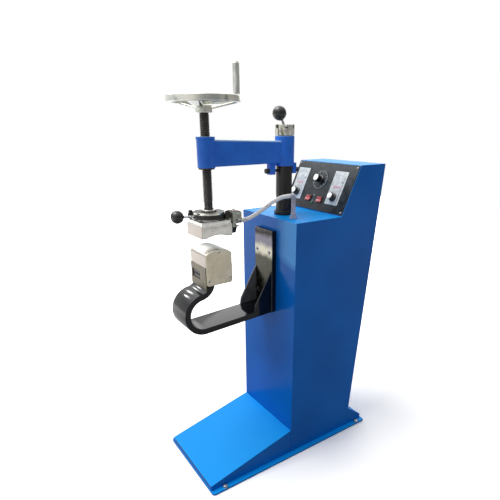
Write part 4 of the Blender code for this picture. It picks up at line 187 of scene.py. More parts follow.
def clouds(material, size, stretch=(1.0, 1.0, 1.0), detail=3.0):
    """Soft clouds about size millimetres across, in object coordinates. An axis with a stretch
    over one has them shorter, and under one longer."""
    tree = material.node_tree
    placed = add(tree, "TexCoord").outputs["Object"]
    scaled = add(tree, "Mapping", {"Vector": placed, "Scale": stretch}).outputs[0]
    return add(tree, "TexNoise", {"Vector": scaled, "Scale": 1000 / size,
                                  "Detail": detail}).outputs[0]


def layer(material, pattern, colour, rough, reach=(0.35, 0.65)):
    """Colour and roughness turn from what they are to these as the pattern goes through its
    reach."""
    tree = material.node_tree
    share = add(tree, "MapRange", {"Value": pattern, "From Min": reach[0],
                                   "From Max": reach[1]}).outputs[0]
    under, dull = (tree.nodes["Principled BSDF"].inputs[name]
                   for name in ("Base Color", "Roughness"))
    first = under.links[0].from_socket if under.is_linked else tuple(under.default_value)
    start = dull.links[0].from_socket if dull.is_linked else dull.default_value
    mixed = add(tree, "Mix", {0: share, 6: first, 7: linear(colour)}, data_type="RGBA")
    gloss = add(tree, "MapRange", {"Value": share, "To Min": start, "To Max": rough})
    tree.links.new(mixed.outputs[2], under)
    tree.links.new(gloss.outputs[0], dull)


def shade(material, pattern, colours, roughness):
    """The ground takes the first colour and roughness, and a layer over it the second ones."""
    shader = material.node_tree.nodes["Principled BSDF"]
    shader.inputs["Base Color"].default_value = linear(colours[0])
    shader.inputs["Roughness"].default_value = roughness[0]
    layer(material, pattern, colours[1], roughness[1])


def emboss(material, pattern, relief):
    """The pattern raises the surface by relief millimetres, over any relief already there."""
    tree = material.node_tree
    normal = tree.nodes["Principled BSDF"].inputs["Normal"]
    heights = {"Height": pattern, "Distance": relief / 1000}
    if normal.is_linked:
        heights["Normal"] = normal.links[0].from_socket
    tree.links.new(add(tree, "Bump", heights).outputs[0], normal)


def fit(made, material, body, slot, *nodes):
    """A piece gets its material, rides on its body and stands for the nodes that it replaces."""
    made.data.materials.append(material)
    if body:
        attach(made, body)
    if nodes:
        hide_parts(*nodes)
    return made


route = smooth_route(hose_anchors, 24)
marks = np.concatenate([[0], np.cumsum(np.linalg.norm(np.diff(route, axis=0), axis=1))])
arm_end = marks[-1] - hose_run
sleeve_end = arm_end - hose_run
spans = [(seat_gap, sleeve_end - seat_gap, 60), (sleeve_end + seat_gap, arm_end - seat_gap, 30),
         (arm_end, marks[-1] - seat_gap, 30)]
places = np.concatenate([np.linspace(*span) for span in spans])
hose_path = np.stack([np.interp(places, marks, route[:, axis]) for axis in range(3)], -1)
radius = np.interp(places, [0, sleeve_end - seat_gap, sleeve_end],
                   [*sleeve_diameters, hose_diameter]) / 2
ribs = rib_height * (np.cos(places * 2 * math.pi / rib_pitch) - 1) * (places < sleeve_end)
hose_rings = swept(round_section(radius + ribs), hose_path, (0, 0, 1))

# Soft PVC, extruded: satin white, a little see through, so that its shaded side stays light,
# with faint waves along it where it was pulled from the die. The waves are 12 mm long, and
# the grain is drawn at 1.5 mm so that it shows.
soft_pvc = new_material("soft_white_pvc_extruded", IOR=1.53, Subsurface_Weight=0.6,
                        Subsurface_Scale=0.008, Subsurface_Radius=(1.0, 1.0, 1.0))
shade(soft_pvc, clouds(soft_pvc, 30), ("#f6f4f6", "#fefefe"), (0.26, 0.36))
emboss(soft_pvc, clouds(soft_pvc, 12), 0.4)
emboss(soft_pvc, clouds(soft_pvc, 1.5), 0.05)

first = 0
for (name, node, bodies, laid), (low, high, count) in zip((
        ("hose_sleeve_moulded", "hose_sleeve", ("head", "press_hub"), 0),
        ("hose_to_head", "hose_run_arm", ("press_hub", "swing_arm"), 1),
        ("hose_from_deck", "hose_run_root", ("swing_arm", "root"), -1)), spans):
    tube = fit(build(name, surface(hose_rings[first:first + count])), soft_pvc, None,
               "white_plastic", node)
    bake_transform(tube)
    first += count

# Floor and light. A pale floor that keeps the object's shadow, a broad soft lamp from above
# and in front, a weak one from behind, and a room that is darker to the right. Gloss shows a
# bright room on the left, a dim one on the right, a bright ceiling and two small windows.
floor_half, floor_grey = 6.0, (0.34, 0.34, 0.35, 1.0)
bright_side = (-0.8, -0.6, 0.0)


def seen(tree):
    """One for rays from the camera, off gloss and through glass, and zero for the others."""
    path = add(tree, "LightPath").outputs
    both = add(tree, "Math", {0: path["Is Camera Ray"], 1: path["Is Glossy Ray"]}, operation="ADD")
    return add(tree, "Math", {0: both.outputs[0], 1: path["Is Transmission Ray"]},
               operation="ADD", use_clamp=True).outputs[0]


def backdrop(tree, place, dim_at, bright_at, plain):
    """The plain value for rays from the camera. For the others it grows from 0.4 to one as the
    part of the place or direction that points to the bright side goes from dim to bright."""
    part = add(tree, "VectorMath", {0: place, 1: bright_side}, operation="DOT_PRODUCT").outputs[1]
    share = add(tree, "MapRange", {"Value": part, "From Min": dim_at, "From Max": bright_at,
                                   "To Min": 0.4, "To Max": 1.0}).outputs[0]
    straight = add(tree, "Math", {0: add(tree, "LightPath").outputs["Is Camera Ray"], 1: plain},
                   operation="MULTIPLY").outputs[0]
    return add(tree, "Math", {0: straight, 1: share}, operation="MAXIMUM").outputs[0]


room = bpy.data.worlds.new("room")
bpy.context.scene.world = room
room.use_nodes = True
tree = room.node_tree
background = tree.nodes["Background"]
direction = add(tree, "TexCoord").outputs["Generated"]
facing = add(tree, "SeparateXYZ", {0: direction}).outputs
lit = add(tree, "MapRange", {"Value": facing[0], "From Min": -1.0, "From Max": 1.0,
                             "To Min": 0.62, "To Max": 0.3}).outputs[0]
ceiling = add(tree, "MapRange", {"Value": facing[2], "From Min": 0.35, "From Max": 0.9,
                                 "To Min": 1.0, "To Max": 3.4}).outputs[0]
shown = add(tree, "Math", {0: backdrop(tree, direction, -0.5, 0.4, 1.0), 1: ceiling},
            operation="MULTIPLY").outputs[0]
strength = add(tree, "Mix", {0: seen(tree), 2: lit, 3: shown})
tree.links.new(strength.outputs[0], background.inputs["Strength"])
background.inputs["Color"].default_value = (1.0, 1.0, 1.0, 1.0)

edge = np.array([(-1, -1, 0), (1, -1, 0), (1, 1, 0), (-1, 1, 0)]) * floor_half
ground = bpy.data.meshes.new("floor")
ground.from_pydata(edge, [], [(0, 1, 2, 3)])
floor = bpy.data.objects.new("floor", ground)
bpy.context.collection.objects.link(floor)
screed = new_material("pale_floor_screed", Roughness=0.7, Specular_IOR_Level=0.1)
tree = screed.node_tree
speckle = add(tree, "MapRange", {"Value": clouds(screed, 400), "To Min": 1.02,
                                 "To Max": 1.08}).outputs[0]
spot = add(tree, "TexCoord").outputs["Object"]
far = add(tree, "VectorMath", {0: spot}, operation="LENGTH").outputs[1]
lift = add(tree, "MapRange", {"Value": far, "From Min": 0.8, "From Max": 3.5, "To Min": 1.0,
                              "To Max": 1.8}).outputs[0]
bright = backdrop(tree, spot, 0.2, 2.8, 1.35)
for factor in (speckle, lift):
    bright = add(tree, "Math", {0: bright, 1: factor}, operation="MULTIPLY").outputs[0]
pale = add(tree, "CombineColor", {0: bright, 1: bright, 2: bright}).outputs[0]
toned = add(tree, "Mix", {0: seen(tree), 6: floor_grey, 7: pale}, data_type="RGBA")
tree.links.new(toned.outputs[2], tree.nodes["Principled BSDF"].inputs["Base Color"])
ground.materials.append(screed)

for name, towards, power, width in (("key", (-0.22, -0.40, 0.89), 1.55, 0.6),
                                    ("rim", (-0.60, 0.70, 0.42), 0.5, 0.8),
                                    ("window_high", (-0.85, 0.07, 0.50), 0.14, 0.10),
                                    ("window_low", (-0.85, -0.21, 0.48), 0.14, 0.10)):
    lamp = bpy.data.lights.new(name, "SUN")
    lamp.energy = power
    lamp.angle = width
    holder = bpy.data.objects.new(name, lamp)
    holder.rotation_mode = "QUATERNION"
    holder.rotation_quaternion = Vector(towards).to_track_quat("Z", "Y")
    bpy.context.collection.objects.link(holder)

# Base plate: 8 mm steel plate, sawn with rounded corners, painted with the pedestal, and held
# to the ground by four hexagon bolts on washers.
base_half, base_front, base_back = 0.196, -0.388, 0.430
base_thickness, base_corner, base_edge = 0.008, 0.014, 0.0012
anchor_x, anchor_ys = 0.1858, (-0.329, 0.383)
washer_radius, washer_thickness, washer_edge = 0.0097, 0.002, 0.0004
anchor_across, anchor_head, head_flat = 0.016, 0.0075, 0.96
most_cut, doubled = 0.49, 1e-7


def rounded(corners, radius, steps=5, closed=True):
    """An outline whose corners are curves. With p a corner and a and b the places on its two
    sides where a fillet of that radius would start and end, it is
    (1-t) squared a + 2t(1-t) p + t squared b. A fillet takes less than half of a side, and
    doubled points are left out. An open outline keeps its two ends."""
    p = np.asarray(corners, float)
    back, on = np.roll(p, 1, 0) - p, np.roll(p, -1, 0) - p
    long_back, long_on = np.linalg.norm(back, axis=1), np.linalg.norm(on, axis=1)
    half = np.arccos(np.clip((back * on).sum(1) / long_back / long_on, -1, 1)) / 2
    cut = np.minimum(np.broadcast_to(radius, len(p)) / np.tan(half),
                     most_cut * np.minimum(long_back, long_on))[:, None]
    a = (p + back / long_back[:, None] * cut)[:, None]
    b = (p + on / long_on[:, None] * cut)[:, None]
    t = np.linspace(0, 1, steps + 1)[None, :, None]
    curve = (1 - t) ** 2 * a + 2 * t * (1 - t) * p[:, None] + t ** 2 * b
    if closed:
        points = curve.reshape(-1, 2)
        return points[np.linalg.norm(points - np.roll(points, 1, 0), axis=1) > doubled]
    points = np.concatenate([p[:1], curve[1:-1].reshape(-1, 2), p[-1:]])
    return points[np.r_[True, np.linalg.norm(np.diff(points, axis=0), axis=1) > doubled]]


def slab(outline, low, high, edge, order="xyz"):
    """A plate on an outline. Towards both faces it is drawn in along a quarter circle of the
    edge's radius. Order names the axes of the outline's two numbers and of the height."""
    outline = np.array(outline, float)
    along = np.roll(outline, -1, 0) - outline
    along /= np.linalg.norm(along, axis=1, keepdims=True)
    normal = np.stack([along[:, 1], -along[:, 0]], 1)
    before = np.roll(normal, 1, 0)
    mitre = (normal + before) / (1 + (normal * before).sum(1, keepdims=True))
    x, y = outline.T
    mitre *= np.sign((x * np.roll(y, -1) - np.roll(x, -1) * y).sum())
    turn = np.linspace(0, math.pi / 2, 4)
    inset, lift = edge * (1 - np.sin(turn)), edge * (1 - np.cos(turn))
    heights = np.concatenate([low + lift, (high - lift)[::-1]])
    drawn = outline - mitre * np.concatenate([inset, inset[::-1]])[:, None, None]
    rings = np.concatenate([drawn, np.broadcast_to(heights[:, None, None],
                                                   (*drawn.shape[:2], 1))], -1)
    return surface(rings[..., [order.index(axis) for axis in "xyz"]])


def rectangle(x0, y0, x1, y1):
    """The four corners, anticlockwise from the lowest."""
    return [(x0, y0), (x1, y0), (x1, y1), (x0, y1)]


def lathe(radius, height, centre=(0, 0, 0), axis=(0, 0, 1), steps=72):
    """Rings turned about an axis: centre + radius (cos t u + sin t v) + height times the axis.
    Radius and height are one for each ring, or one for each ring and angle."""
    axis = np.array(axis, float) / np.linalg.norm(axis)
    u = np.cross((0, 1, 0) if abs(axis[1]) < 0.9 else (0, 0, 1), axis)
    u /= np.linalg.norm(u)
    turn = np.linspace(0, 2 * math.pi, steps, endpoint=False)[:, None]
    circle = np.cos(turn) * u + np.sin(turn) * np.cross(axis, u)
    radius, height = (np.asarray(part, float) for part in (radius, height))
    radius, height = (part[:, None] if part.ndim == 1 else part for part in (radius, height))
    return np.array(centre) + radius[..., None] * circle + height[..., None] * axis


def turned(profile, edge, place=(0, 0, 0), axis=(0, 0, 1), steps=72, ring=False, corner=5):
    """A turned piece: a profile of radius and height, its corners rounded, goes round an axis.
    A solid's profile starts and ends on the axis, and a ring's is closed."""
    line = rounded(profile, edge, steps=corner, closed=ring)
    return surface(lathe(*line.T, place, axis, steps), wrap=ring)


def plug(radius, low, high, edge, *place, **how):
    """A turned cylinder between two heights."""
    return turned([(0, high), (radius, high), (radius, low), (0, low)], edge, *place, **how)


def collar(radii, heights, edge, *place, **how):
    """A turned ring between two radii and two heights."""
    (inner, outer), (low, high) = radii, heights
    return turned([(inner, low), (outer, low), (outer, high), (inner, high)], edge, *place,
                  ring=True, **how)


def hexagon(across, low, high, centre=(0, 0, 0), axis=(0, 0, 1)):
    """A bolt head. Its radius is half the width over the cosine of the angle from the nearest
    flat's middle, and its top falls at 30 degrees outside a circle just inside the flats."""
    turn = np.linspace(0, 2 * math.pi, 72, endpoint=False)
    wide = across / 2 / np.cos(np.mod(turn, math.pi / 3) - math.pi / 6)
    inner = np.full_like(wide, across / 2 * head_flat)
    drop = (wide - inner) * math.tan(math.pi / 6)
    heights = np.stack([np.full_like(wide, low), high - drop, np.full_like(wide, high)])
    return surface(lathe(np.stack([wide, wide, inner]), heights, centre, axis))


def reading(material, kind, axis):
    """How far each point lies, kind "Object", or faces, kind "Normal", along an axis."""
    tree = material.node_tree
    return add(tree, "SeparateXYZ", {0: add(tree, "TexCoord").outputs[kind]}).outputs[axis]


# Baked gloss enamel on sheet steel: a wet, even blue with a slight orange peel. Its shade
# drifts over 30 cm with the thickness of the coat. Faces that look up are painted lighter and
# more cyan, as painted light from above. Above 0.85 m, the front wall on the machine's right
# and the back wall on its left are painted paler, as a painted reflection. The peel is 3 mm
# across, as real.
enamel = new_material("blue_gloss_enamel_baked", Specular_IOR_Level=0.15)
shade(enamel, clouds(enamel, 300, detail=1.0), ("#0465c2", "#0870d2"), (0.14, 0.22))
layer(enamel, clouds(enamel, 14, detail=5.0), "#045bb4", 0.3, (0.62, 0.9))
# Painted light: faces that look up take a lighter cyan.
layer(enamel, reading(enamel, "Normal", 2), "#069ef8", 0.45, (0.1, 0.9))
# Painted reflection: a pale patch above 0.85 m on the front wall's right and the back wall's left.
painted_reflection_mask = add(enamel.node_tree, "MapRange", {"Value": reading(enamel, "Object", 2),
                                           "From Min": 0.80, "From Max": 0.87}).outputs[0]
for factor in (reading(enamel, "Normal", 1), reading(enamel, "Object", 0)):
    painted_reflection_mask = add(enamel.node_tree, "Math", {0: painted_reflection_mask, 1: factor}, operation="MULTIPLY").outputs[0]
layer(enamel, painted_reflection_mask, "#5aaaf6", 0.3, (-0.05, -0.12))
emboss(enamel, clouds(enamel, 3.0, detail=1.0), 0.025)

# Zinc plated steel, bright dipped: pale grey with cloudy spangles of 6 mm and fine handling
# scratches, drawn 1.2 mm apart so that they show.
zinc = new_material("zinc_plated_steel", Metallic=1.0)
shade(zinc, clouds(zinc, 6), ("#8d8f92", "#b9bbbd"), (0.3, 0.45))
emboss(zinc, clouds(zinc, 1.2, stretch=(1, 1, 0.2)), 0.03)

plan = rounded(rectangle(-base_half, base_front, base_half, base_back), base_corner)
fit(build("base_plate_steel", slab(plan, 0, base_thickness, base_edge)), enamel, "root",
    "blue_paint", "base_plate")
washer_top = base_thickness + washer_thickness
anchors = []
for place in ((x, y, 0) for x in (-anchor_x, anchor_x) for y in anchor_ys):
    anchors += [plug(washer_radius, base_thickness, washer_top, washer_edge, place),
                hexagon(anchor_across, washer_top, washer_top + anchor_head, place)]
fit(build("anchor_bolts", *anchors), zinc, "root", "blue_paint")

# Pedestal: 2.5 mm sheet folded round a flat deck, a slope for the panel and a back that leans,
# with sloped covers on the base before and behind it. Welded, ground and painted as one.
pedestal_edge, cover_edge, vent_edge = 0.0016, 0.0014, 0.0006


def softened(node, edge, material, slot, body="root"):
    """Stands for a CAD node with a copy of its mesh, whose doubled points are merged, whose
    flat faces are made whole, and whose edges are rounded by a narrow bevel."""
    work = bmesh.new()
    work.from_mesh(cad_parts[node].data)
    bmesh.ops.remove_doubles(work, verts=work.verts, dist=weld)
    bmesh.ops.dissolve_limit(work, angle_limit=math.radians(1), verts=work.verts,
                             edges=work.edges)
    made = made_from(work, node + "_rounded")
    bevel = made.modifiers.new("Edge", "BEVEL")
    bevel.width, bevel.segments = edge, 2
    bevel.limit_method, bevel.angle_limit = "ANGLE", crease
    bevel.harden_normals = True
    return fit(made, material, body, slot, node)


for node, edge in (("cabinet_shell", pedestal_edge), ("foot_cover", cover_edge),
                   ("rear_ledge", cover_edge), ("rear_panel", vent_edge)):
    softened(node, edge, enamel, "blue_paint")

# Column: a 60 mm steel bar, turned and blackened, that stands in a socket inside the pedestal
# and comes up through a ring on the deck. The arm turns on its thinner upper journal.
column_y, column_radius, journal_radius, thread_radius = 0.075, 0.030, 0.022, 0.020
column_foot, deck_height, shoulder_height, nut_base = 0.7483, 1.000, 1.1754, 1.2836
nut_body, column_edge = 0.022, 0.0012
ring_radii, ring_height, ring_edge = (0.0303, 0.036), 0.015, 0.0016
column_axis, column_top = (0, column_y, 0), nut_base + nut_body
ring_foot = deck_height + seat_gap

# Blackened steel, turned and oiled: charcoal with brown where the oil has dried. The lines of
# the tool, 0.2 mm apart on the real bar, are drawn 1.5 mm apart so that they show.
blackened = new_material("blackened_steel_turned", Metallic=0.25, IOR=1.5)
shade(blackened, clouds(blackened, 40, stretch=(1, 1, 0.4)), ("#161413", "#262220"), (0.3, 0.42))
emboss(blackened, clouds(blackened, 12, stretch=(1, 1, 8), detail=1.0), 0.03)

bar = [(0, column_top), (thread_radius, column_top), (thread_radius, nut_base),
       (journal_radius, nut_base), (journal_radius, shoulder_height),
       (column_radius, shoulder_height), (column_radius, column_foot), (0, column_foot)]
fit(build("column_bar", turned(bar, column_edge, column_axis)), blackened, "root",
    "black_oxide", "column")
fit(build("column_ring_turned", collar(ring_radii, (ring_foot, ring_foot + ring_height),
                                       ring_edge, column_axis)),
    blackened, "root", "black_oxide", "column_base_ring")

# Pipe and gland on the deck: grey PVC conduit, bent to take the hose, and a nut that clamps it.
# The wires go down through it into the pedestal.
riser_x, hose_y, hose_z = hose_anchors[-1]
riser_y, riser_foot, riser_radius, bend_radius = 0.048, 0.970, 0.008, 0.013
gland_across, gland_height, gland_bore, gland_edge = 0.0235, 0.0092, 0.0081, 0.0012
dome_low, dome_high, dome_radii = 0.009, 0.020, (0.0104, 0.0100)
gland_place = (riser_x, riser_y, ring_foot)

# Grey PVC, extruded and warmed to bend it: semi-matt, slightly streaked along its length.
grey_pvc = new_material("grey_pvc_extruded", IOR=1.53)
shade(grey_pvc, clouds(grey_pvc, 18, stretch=(1, 1, 0.3)), ("#aeabbb", "#c9c6d4"), (0.38, 0.5))
emboss(grey_pvc, clouds(grey_pvc, 2.0), 0.05)

quarter = np.linspace(0, math.pi / 2, 12)
bend = np.stack([np.full_like(quarter, riser_x), riser_y - bend_radius * (1 - np.cos(quarter)),
                 hose_z - bend_radius * (1 - np.sin(quarter))], -1)
pipe = np.concatenate([[(riser_x, riser_y, riser_foot)], bend, [(riser_x, hose_y, hose_z)]])
dome = [(gland_bore, dome_high), (dome_radii[1], dome_high), (dome_radii[0], dome_low),
        (gland_bore, dome_low)]
fit(build("hose_riser_pipe", surface(swept(round_section(riser_radius), pipe, (1, 0, 0))),
          hexagon(gland_across, 0, gland_height, gland_place),
          turned(dome, gland_edge, gland_place, ring=True)),
    grey_pvc, "root", "grey_plastic", "hose_riser")

# Mount plate: 20 mm steel plate, ground bright, bolted through the pedestal's front wall into
# the channel behind it by four socket head bolts that sit in counterbores.
mount_edge, gusset_edge = 0.0008, 0.0009

# Ground steel: mirror bright along the stone's strokes and hazy across them. The strokes are
# drawn 1.2 mm apart, coarser than real. Its face is painted with bands of reflection, from
# top to bottom brown, lilac grey, cream and olive brown.
ground_steel = new_material("mild_steel_ground", Metallic=1.0)
tree = ground_steel.node_tree
wander = add(tree, "MapRange", {"Value": clouds(ground_steel, 35), "To Min": -0.018,
                                "To Max": 0.018}).outputs[0]
rise = add(tree, "Math", {0: reading(ground_steel, "Object", 2), 1: wander},
           operation="ADD").outputs[0]
shade(ground_steel, clouds(ground_steel, 30), ("#403f37", "#4b4a42"), (0.2, 0.32))
# Painted reflections: bands of colour by height, each laid over the one below.
for reflected_band, rough, reach in (("#a6a293", 0.16, (0.844, 0.864)), ("#64626c", 0.2, (0.880, 0.902)),
                            ("#24201d", 0.26, (0.918, 0.938)), ("#3f3d3b", 0.2, (0.936, 0.954))):
    layer(ground_steel, rise, reflected_band, rough, reach)
emboss(ground_steel, clouds(ground_steel, 30, stretch=(25, 25, 0.6), detail=1.0), 0.02)

# Black gloss enamel, brushed on hot rolled steel: deep black, with the brush's long sags 20 mm
# apart and the scale of the steel showing through as a soft 4 mm grain.
black_enamel = new_material("black_gloss_enamel_brushed", Specular_IOR_Level=0.35)
shade(black_enamel, clouds(black_enamel, 70), ("#0d0f13", "#16191e"), (0.06, 0.12))
emboss(black_enamel, clouds(black_enamel, 20, stretch=(1, 0.4, 1)), 0.08)
emboss(black_enamel, clouds(black_enamel, 4.0), 0.02)

# The same enamel on the inner gusset, painted grey and dull in clouds of 25 mm: a painted
# reflection of the plate and pedestal beside it, on a face in shade.
reflection_black_enamel = new_material("black_enamel_painted_reflection", Specular_IOR_Level=0.3)
shade(reflection_black_enamel, clouds(reflection_black_enamel, 25), ("#62656b", "#74777e"), (0.3, 0.45))
emboss(reflection_black_enamel, clouds(reflection_black_enamel, 4.0), 0.03)


def face_patch(piece, material, chosen):
    """Gives the faces whose normals pass the test a second material."""
    piece.data.materials.append(material)
    normals = np.array([face.normal for face in piece.data.polygons])
    piece.data.polygons.foreach_set("material_index", chosen(normals).astype(int))


mount = softened("arm_mount_plate", mount_edge, ground_steel, "steel")
face_patch(mount, black_enamel, lambda normals: normals[:, 1] > -0.7)


def refinish(material, *nodes):
    """A CAD node whose shape is right keeps it and takes the material in all its slots."""
    for node in nodes:
        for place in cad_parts[node].material_slots:
            place.material = material


refinish(zinc, "support_channel")
# The left gusset's enamel is painted grey, as a painted reflection.
for side, paint in (("left", reflection_black_enamel), ("right", black_enamel)):
    softened("gusset_" + side, gusset_edge, paint, "black_paint")

# Lower arm: 22 mm flat bar, forged hot round a former to a J, welded to the mount plate and
# painted black. It carries the lower heating plate on its upright end.
bar_width, bar_thick, bar_edge = 0.113, 0.022, 0.0022
root_height, slope, root_y = 0.639, math.radians(3), -0.0203
hook_y, hook_radius, neck_radius, neck_angle = -0.310, 0.067, 0.050, math.radians(98)
plate_y, bar_end = -0.248, 0.8617


def bar_line():
    """The bar's middle line in Y and Z: a straight stretch, an arc about the hook's centre down
    to the neck's angle, and an arc back to the vertical. Steps are 4 degrees."""
    foot_y = hook_y + hook_radius * math.sin(slope)
    centre = np.array([hook_y, root_height + (foot_y - root_y) * math.tan(slope)
                       + hook_radius * math.cos(slope)])
    turn = np.linspace(slope - math.pi / 2, neck_angle - 2 * math.pi, 64)
    hook = centre + hook_radius * np.stack([np.cos(turn), np.sin(turn)], -1)
    neck_centre = centre + (hook_radius + neck_radius) * np.array([math.cos(neck_angle),
                                                                   math.sin(neck_angle)])
    turn = np.linspace(neck_angle - math.pi, 0, 28)
    neck = neck_centre + neck_radius * np.stack([np.cos(turn), np.sin(turn)], -1)
    return np.concatenate([[(root_y, root_height)], hook, neck[1:],
                           [(neck_centre[0] + neck_radius, bar_end)]])


bar_path = np.insert(bar_line(), 0, 0.0, axis=1)
bar_section = rounded(rectangle(-bar_thick / 2, -bar_width / 2, bar_thick / 2, bar_width / 2),
                      bar_edge, steps=4)
fit(build("lower_arm_forged", surface(swept(bar_section, bar_path, (1, 0, 0)))), black_enamel,
    "root", "black_paint", "lower_arm")

# Lower heating plate: a cast aluminium block, milled to a crown that fits the inside of a
# tire, with two heater cartridges and a sensor in it.
block_half, block_depth_half, block_foot, block_top = 0.057, 0.052, 0.862, 0.921
crown_radius, shoulder_radius = 0.100, 0.010
block_edge = 0.003

# Cast aluminium, milled and then polished by use: warm grey, with the mill's lines 3 mm apart
# and darker clouds of baked rubber bloom.
milled_aluminium = new_material("aluminium_cast_milled", Metallic=1.0)
shade(milled_aluminium, clouds(milled_aluminium, 35), ("#d2cfc8", "#efece6"), (0.24, 0.36))
layer(milled_aluminium, clouds(milled_aluminium, 22, stretch=(1, 1, 0.6), detail=5.0),
      "#a09c90", 0.48, (0.6, 0.9))
# Faces that look to the front are a darker, warmer grey.
layer(milled_aluminium, reading(milled_aluminium, "Normal", 1), "#b0a8a0", 0.36, (-0.3, -0.8))
emboss(milled_aluminium, clouds(milled_aluminium, 20, stretch=(1, 7, 7), detail=1.0), 0.03)

# The lower plate turns a duller, darker grey green from a little in front of its middle to the
# back.
back_darker_aluminium = milled_aluminium.copy()
back_darker_aluminium.name = "aluminium_cast_milled_darker_behind"
layer(back_darker_aluminium, reading(back_darker_aluminium, "Object", 1), "#767c74", 0.34, (-0.272, -0.246))


def crown(inset):
    """The top of the block in Y and Z, front to back: an arc of the shoulder's radius, a flat
    arc of the crown's radius about a centre below, and the other shoulder."""
    half = block_depth_half - shoulder_radius
    low = block_top - crown_radius
    spread = math.asin(half / (crown_radius - shoulder_radius))
    high = low + half / math.tan(spread)
    arcs = [(-half, high, shoulder_radius - inset, math.pi, math.pi / 2 + spread, 9),
            (0, low, crown_radius - inset, math.pi / 2 + spread, math.pi / 2 - spread, 40),
            (half, high, shoulder_radius - inset, math.pi / 2 - spread, 0, 9)]
    turns = [np.linspace(start, end, steps) for *_, start, end, steps in arcs]
    points = [np.stack([plate_y + y + radius * np.cos(turn), z + radius * np.sin(turn)], -1)
              for (y, z, radius, *_), turn in zip(arcs, turns)]
    return np.concatenate([points[0][:-1], points[1], points[2][1:]])


block = np.concatenate([[(plate_y - block_depth_half, block_foot)], crown(0.0),
                        [(plate_y + block_depth_half, block_foot)]])
fit(build("lower_plate_crowned", slab(block, -block_half, block_half, block_edge, "yzx")),
    back_darker_aluminium, "root", "aluminium", "lower_heat_block")

# Stainless sheaths of the cartridges and sensors: drawn tube, straw brown from the heat in
# clouds of 9 mm.
sheath = new_material("stainless_tube_heat_tinted", Metallic=1.0)
shade(sheath, clouds(sheath, 9), ("#8f8371", "#6d5f52"), (0.3, 0.42))
refinish(sheath, "lower_heater_element", "upper_heater_element")

# End covers: 3 mm steel sheet with rounded corners, one over each end of the block and of the
# wiring space below it, each held by three pan head screws.
cover_inner, cover_thickness, cover_foot, cover_corner = 0.0573, 0.003, 0.794, 0.010
cover_inset, sheet_edge = 0.001, 0.0009
screw_places = ((-0.248, 0.912), (-0.291, 0.813), (-0.205, 0.813))
screw_radius, screw_height = 0.0045, 0.0028
screw_shares = [(0, 0.35), (0.38, 0.35), (0.38, 1), (0.7, 1), (1, 0.4), (1, 0), (0, 0)]

# Passivated steel sheet: khaki, with a pearly yellow drift over 25 mm where the zinc was
# dipped in chromate, and a rolled grain drawn 1.5 mm wide.
chromated = new_material("steel_sheet_chromated", Metallic=0.6)
shade(chromated, clouds(chromated, 40), ("#ddd3ba", "#efe6cf"), (0.32, 0.42))
layer(chromated, clouds(chromated, 22, detail=4.0), "#c9b48c", 0.46, (0.58, 0.85))
emboss(chromated, clouds(chromated, 6, stretch=(4, 4, 1), detail=1.0), 0.02)

half = block_depth_half - cover_inset
foot_line = rounded([(plate_y - half, block_foot), (plate_y - half, cover_foot),
                     (plate_y + half, cover_foot), (plate_y + half, block_foot)],
                    cover_corner, steps=8, closed=False)[1:-1]
cover = np.concatenate([foot_line, crown(cover_inset)[::-1]])


def pan_screw(place, axis, radius, height):
    """A pan head screw turned about its axis: a low dome with a round driver hole in it. Its
    profile is in shares of the radius and the height."""
    return turned(np.array(screw_shares) * (radius, height), radius * 0.12, place, axis,
                  steps=32, corner=3)


for name, side in (("left", -1), ("right", 1)):
    face = side * (cover_inner + cover_thickness)
    low, high = sorted((side * cover_inner, face))
    fit(build("end_cover_sheet_" + name, slab(cover, low, high, sheet_edge, "yzx")),
        chromated, "root", "cover_steel", "end_cover_" + name)
    screws = [pan_screw((face, y, z), (side, 0, 0), screw_radius, screw_height)
              for y, z in screw_places]
    fit(build("cover_screws_" + name, *screws), zinc, "root", "zinc")

# Skirts: 3 mm steel sheet under the block in front and behind, each held by the lower screws
# of the end covers. The front one has a window over the heater's terminal.
skirt_edge = 0.0005
terminal_xs, terminal_y, terminal_z = (-0.034, -0.017, 0.0), -0.2982, 0.8245
terminal_screw = (0.0042, 0.0022)

# Bakelite, moulded: brown black and faintly mottled in flecks of 3 mm.
bakelite = new_material("bakelite_moulded", IOR=1.6)
shade(bakelite, clouds(bakelite, 3.0), ("#100f0f", "#1d1a18"), (0.28, 0.4))
emboss(bakelite, clouds(bakelite, 2.0), 0.03)

# Oiled steel sheet: olive brown and dull, with darker runs of oil 20 mm apart.
oiled_sheet = new_material("steel_sheet_oiled", Metallic=0.7)
shade(oiled_sheet, clouds(oiled_sheet, 20, stretch=(1, 1, 0.4)), ("#665f50", "#837d6d"),
      (0.34, 0.48))
emboss(oiled_sheet, clouds(oiled_sheet, 6, stretch=(4, 4, 1), detail=1.0), 0.02)

for node in ("front_skirt", "rear_skirt"):
    softened(node, skirt_edge, oiled_sheet, "cover_steel")
refinish(bakelite, "heater_terminal")
fit(build("terminal_screws", *[pan_screw((x, terminal_y, terminal_z), (0, -1, 0),
                                         *terminal_screw) for x in terminal_xs]),
    blackened, "root", "bronze")

# Swing arm: a grey iron casting, a beam between a boss for the spindle's nut and one for the
# column, with two lugs below for the stop bolts. Filled, rubbed down and painted blue.
press_y = -0.248
press_axis = (0, press_y, 0)
arm_half, arm_bottom, arm_tops = 0.021, 1.190, (1.276, 1.267)
arm_corners, fillet = (0.005, 0.005, 0.009, 0.009), 0.005
flare_starts, wall_radii = (0.0214, 0.0292), (0.0266, 0.0316)
front_boss = [(0.0223, 1.285), (0.0315, 1.285), (0.0315, 1.276), (0.030, 1.276),
              (0.030, 1.1875), (0.0223, 1.1875)]
rear_boss = [(0.0267, 1.283), (0.036, 1.283), (0.036, 1.179), (0.0267, 1.179)]
front_edge, rear_edge = 0.0014, 0.0022
lugs = ((0.0035, 0.028, 1.200), (0.1055, 0.1245, 1.189))
lug_half, lug_foot, lug_corner, lug_edge, bolt_z = 0.012, 1.150, 0.003, 0.002, 1.1635
lug_half, lug_foot, bolt_z = 0.012, 1.150, 1.1635
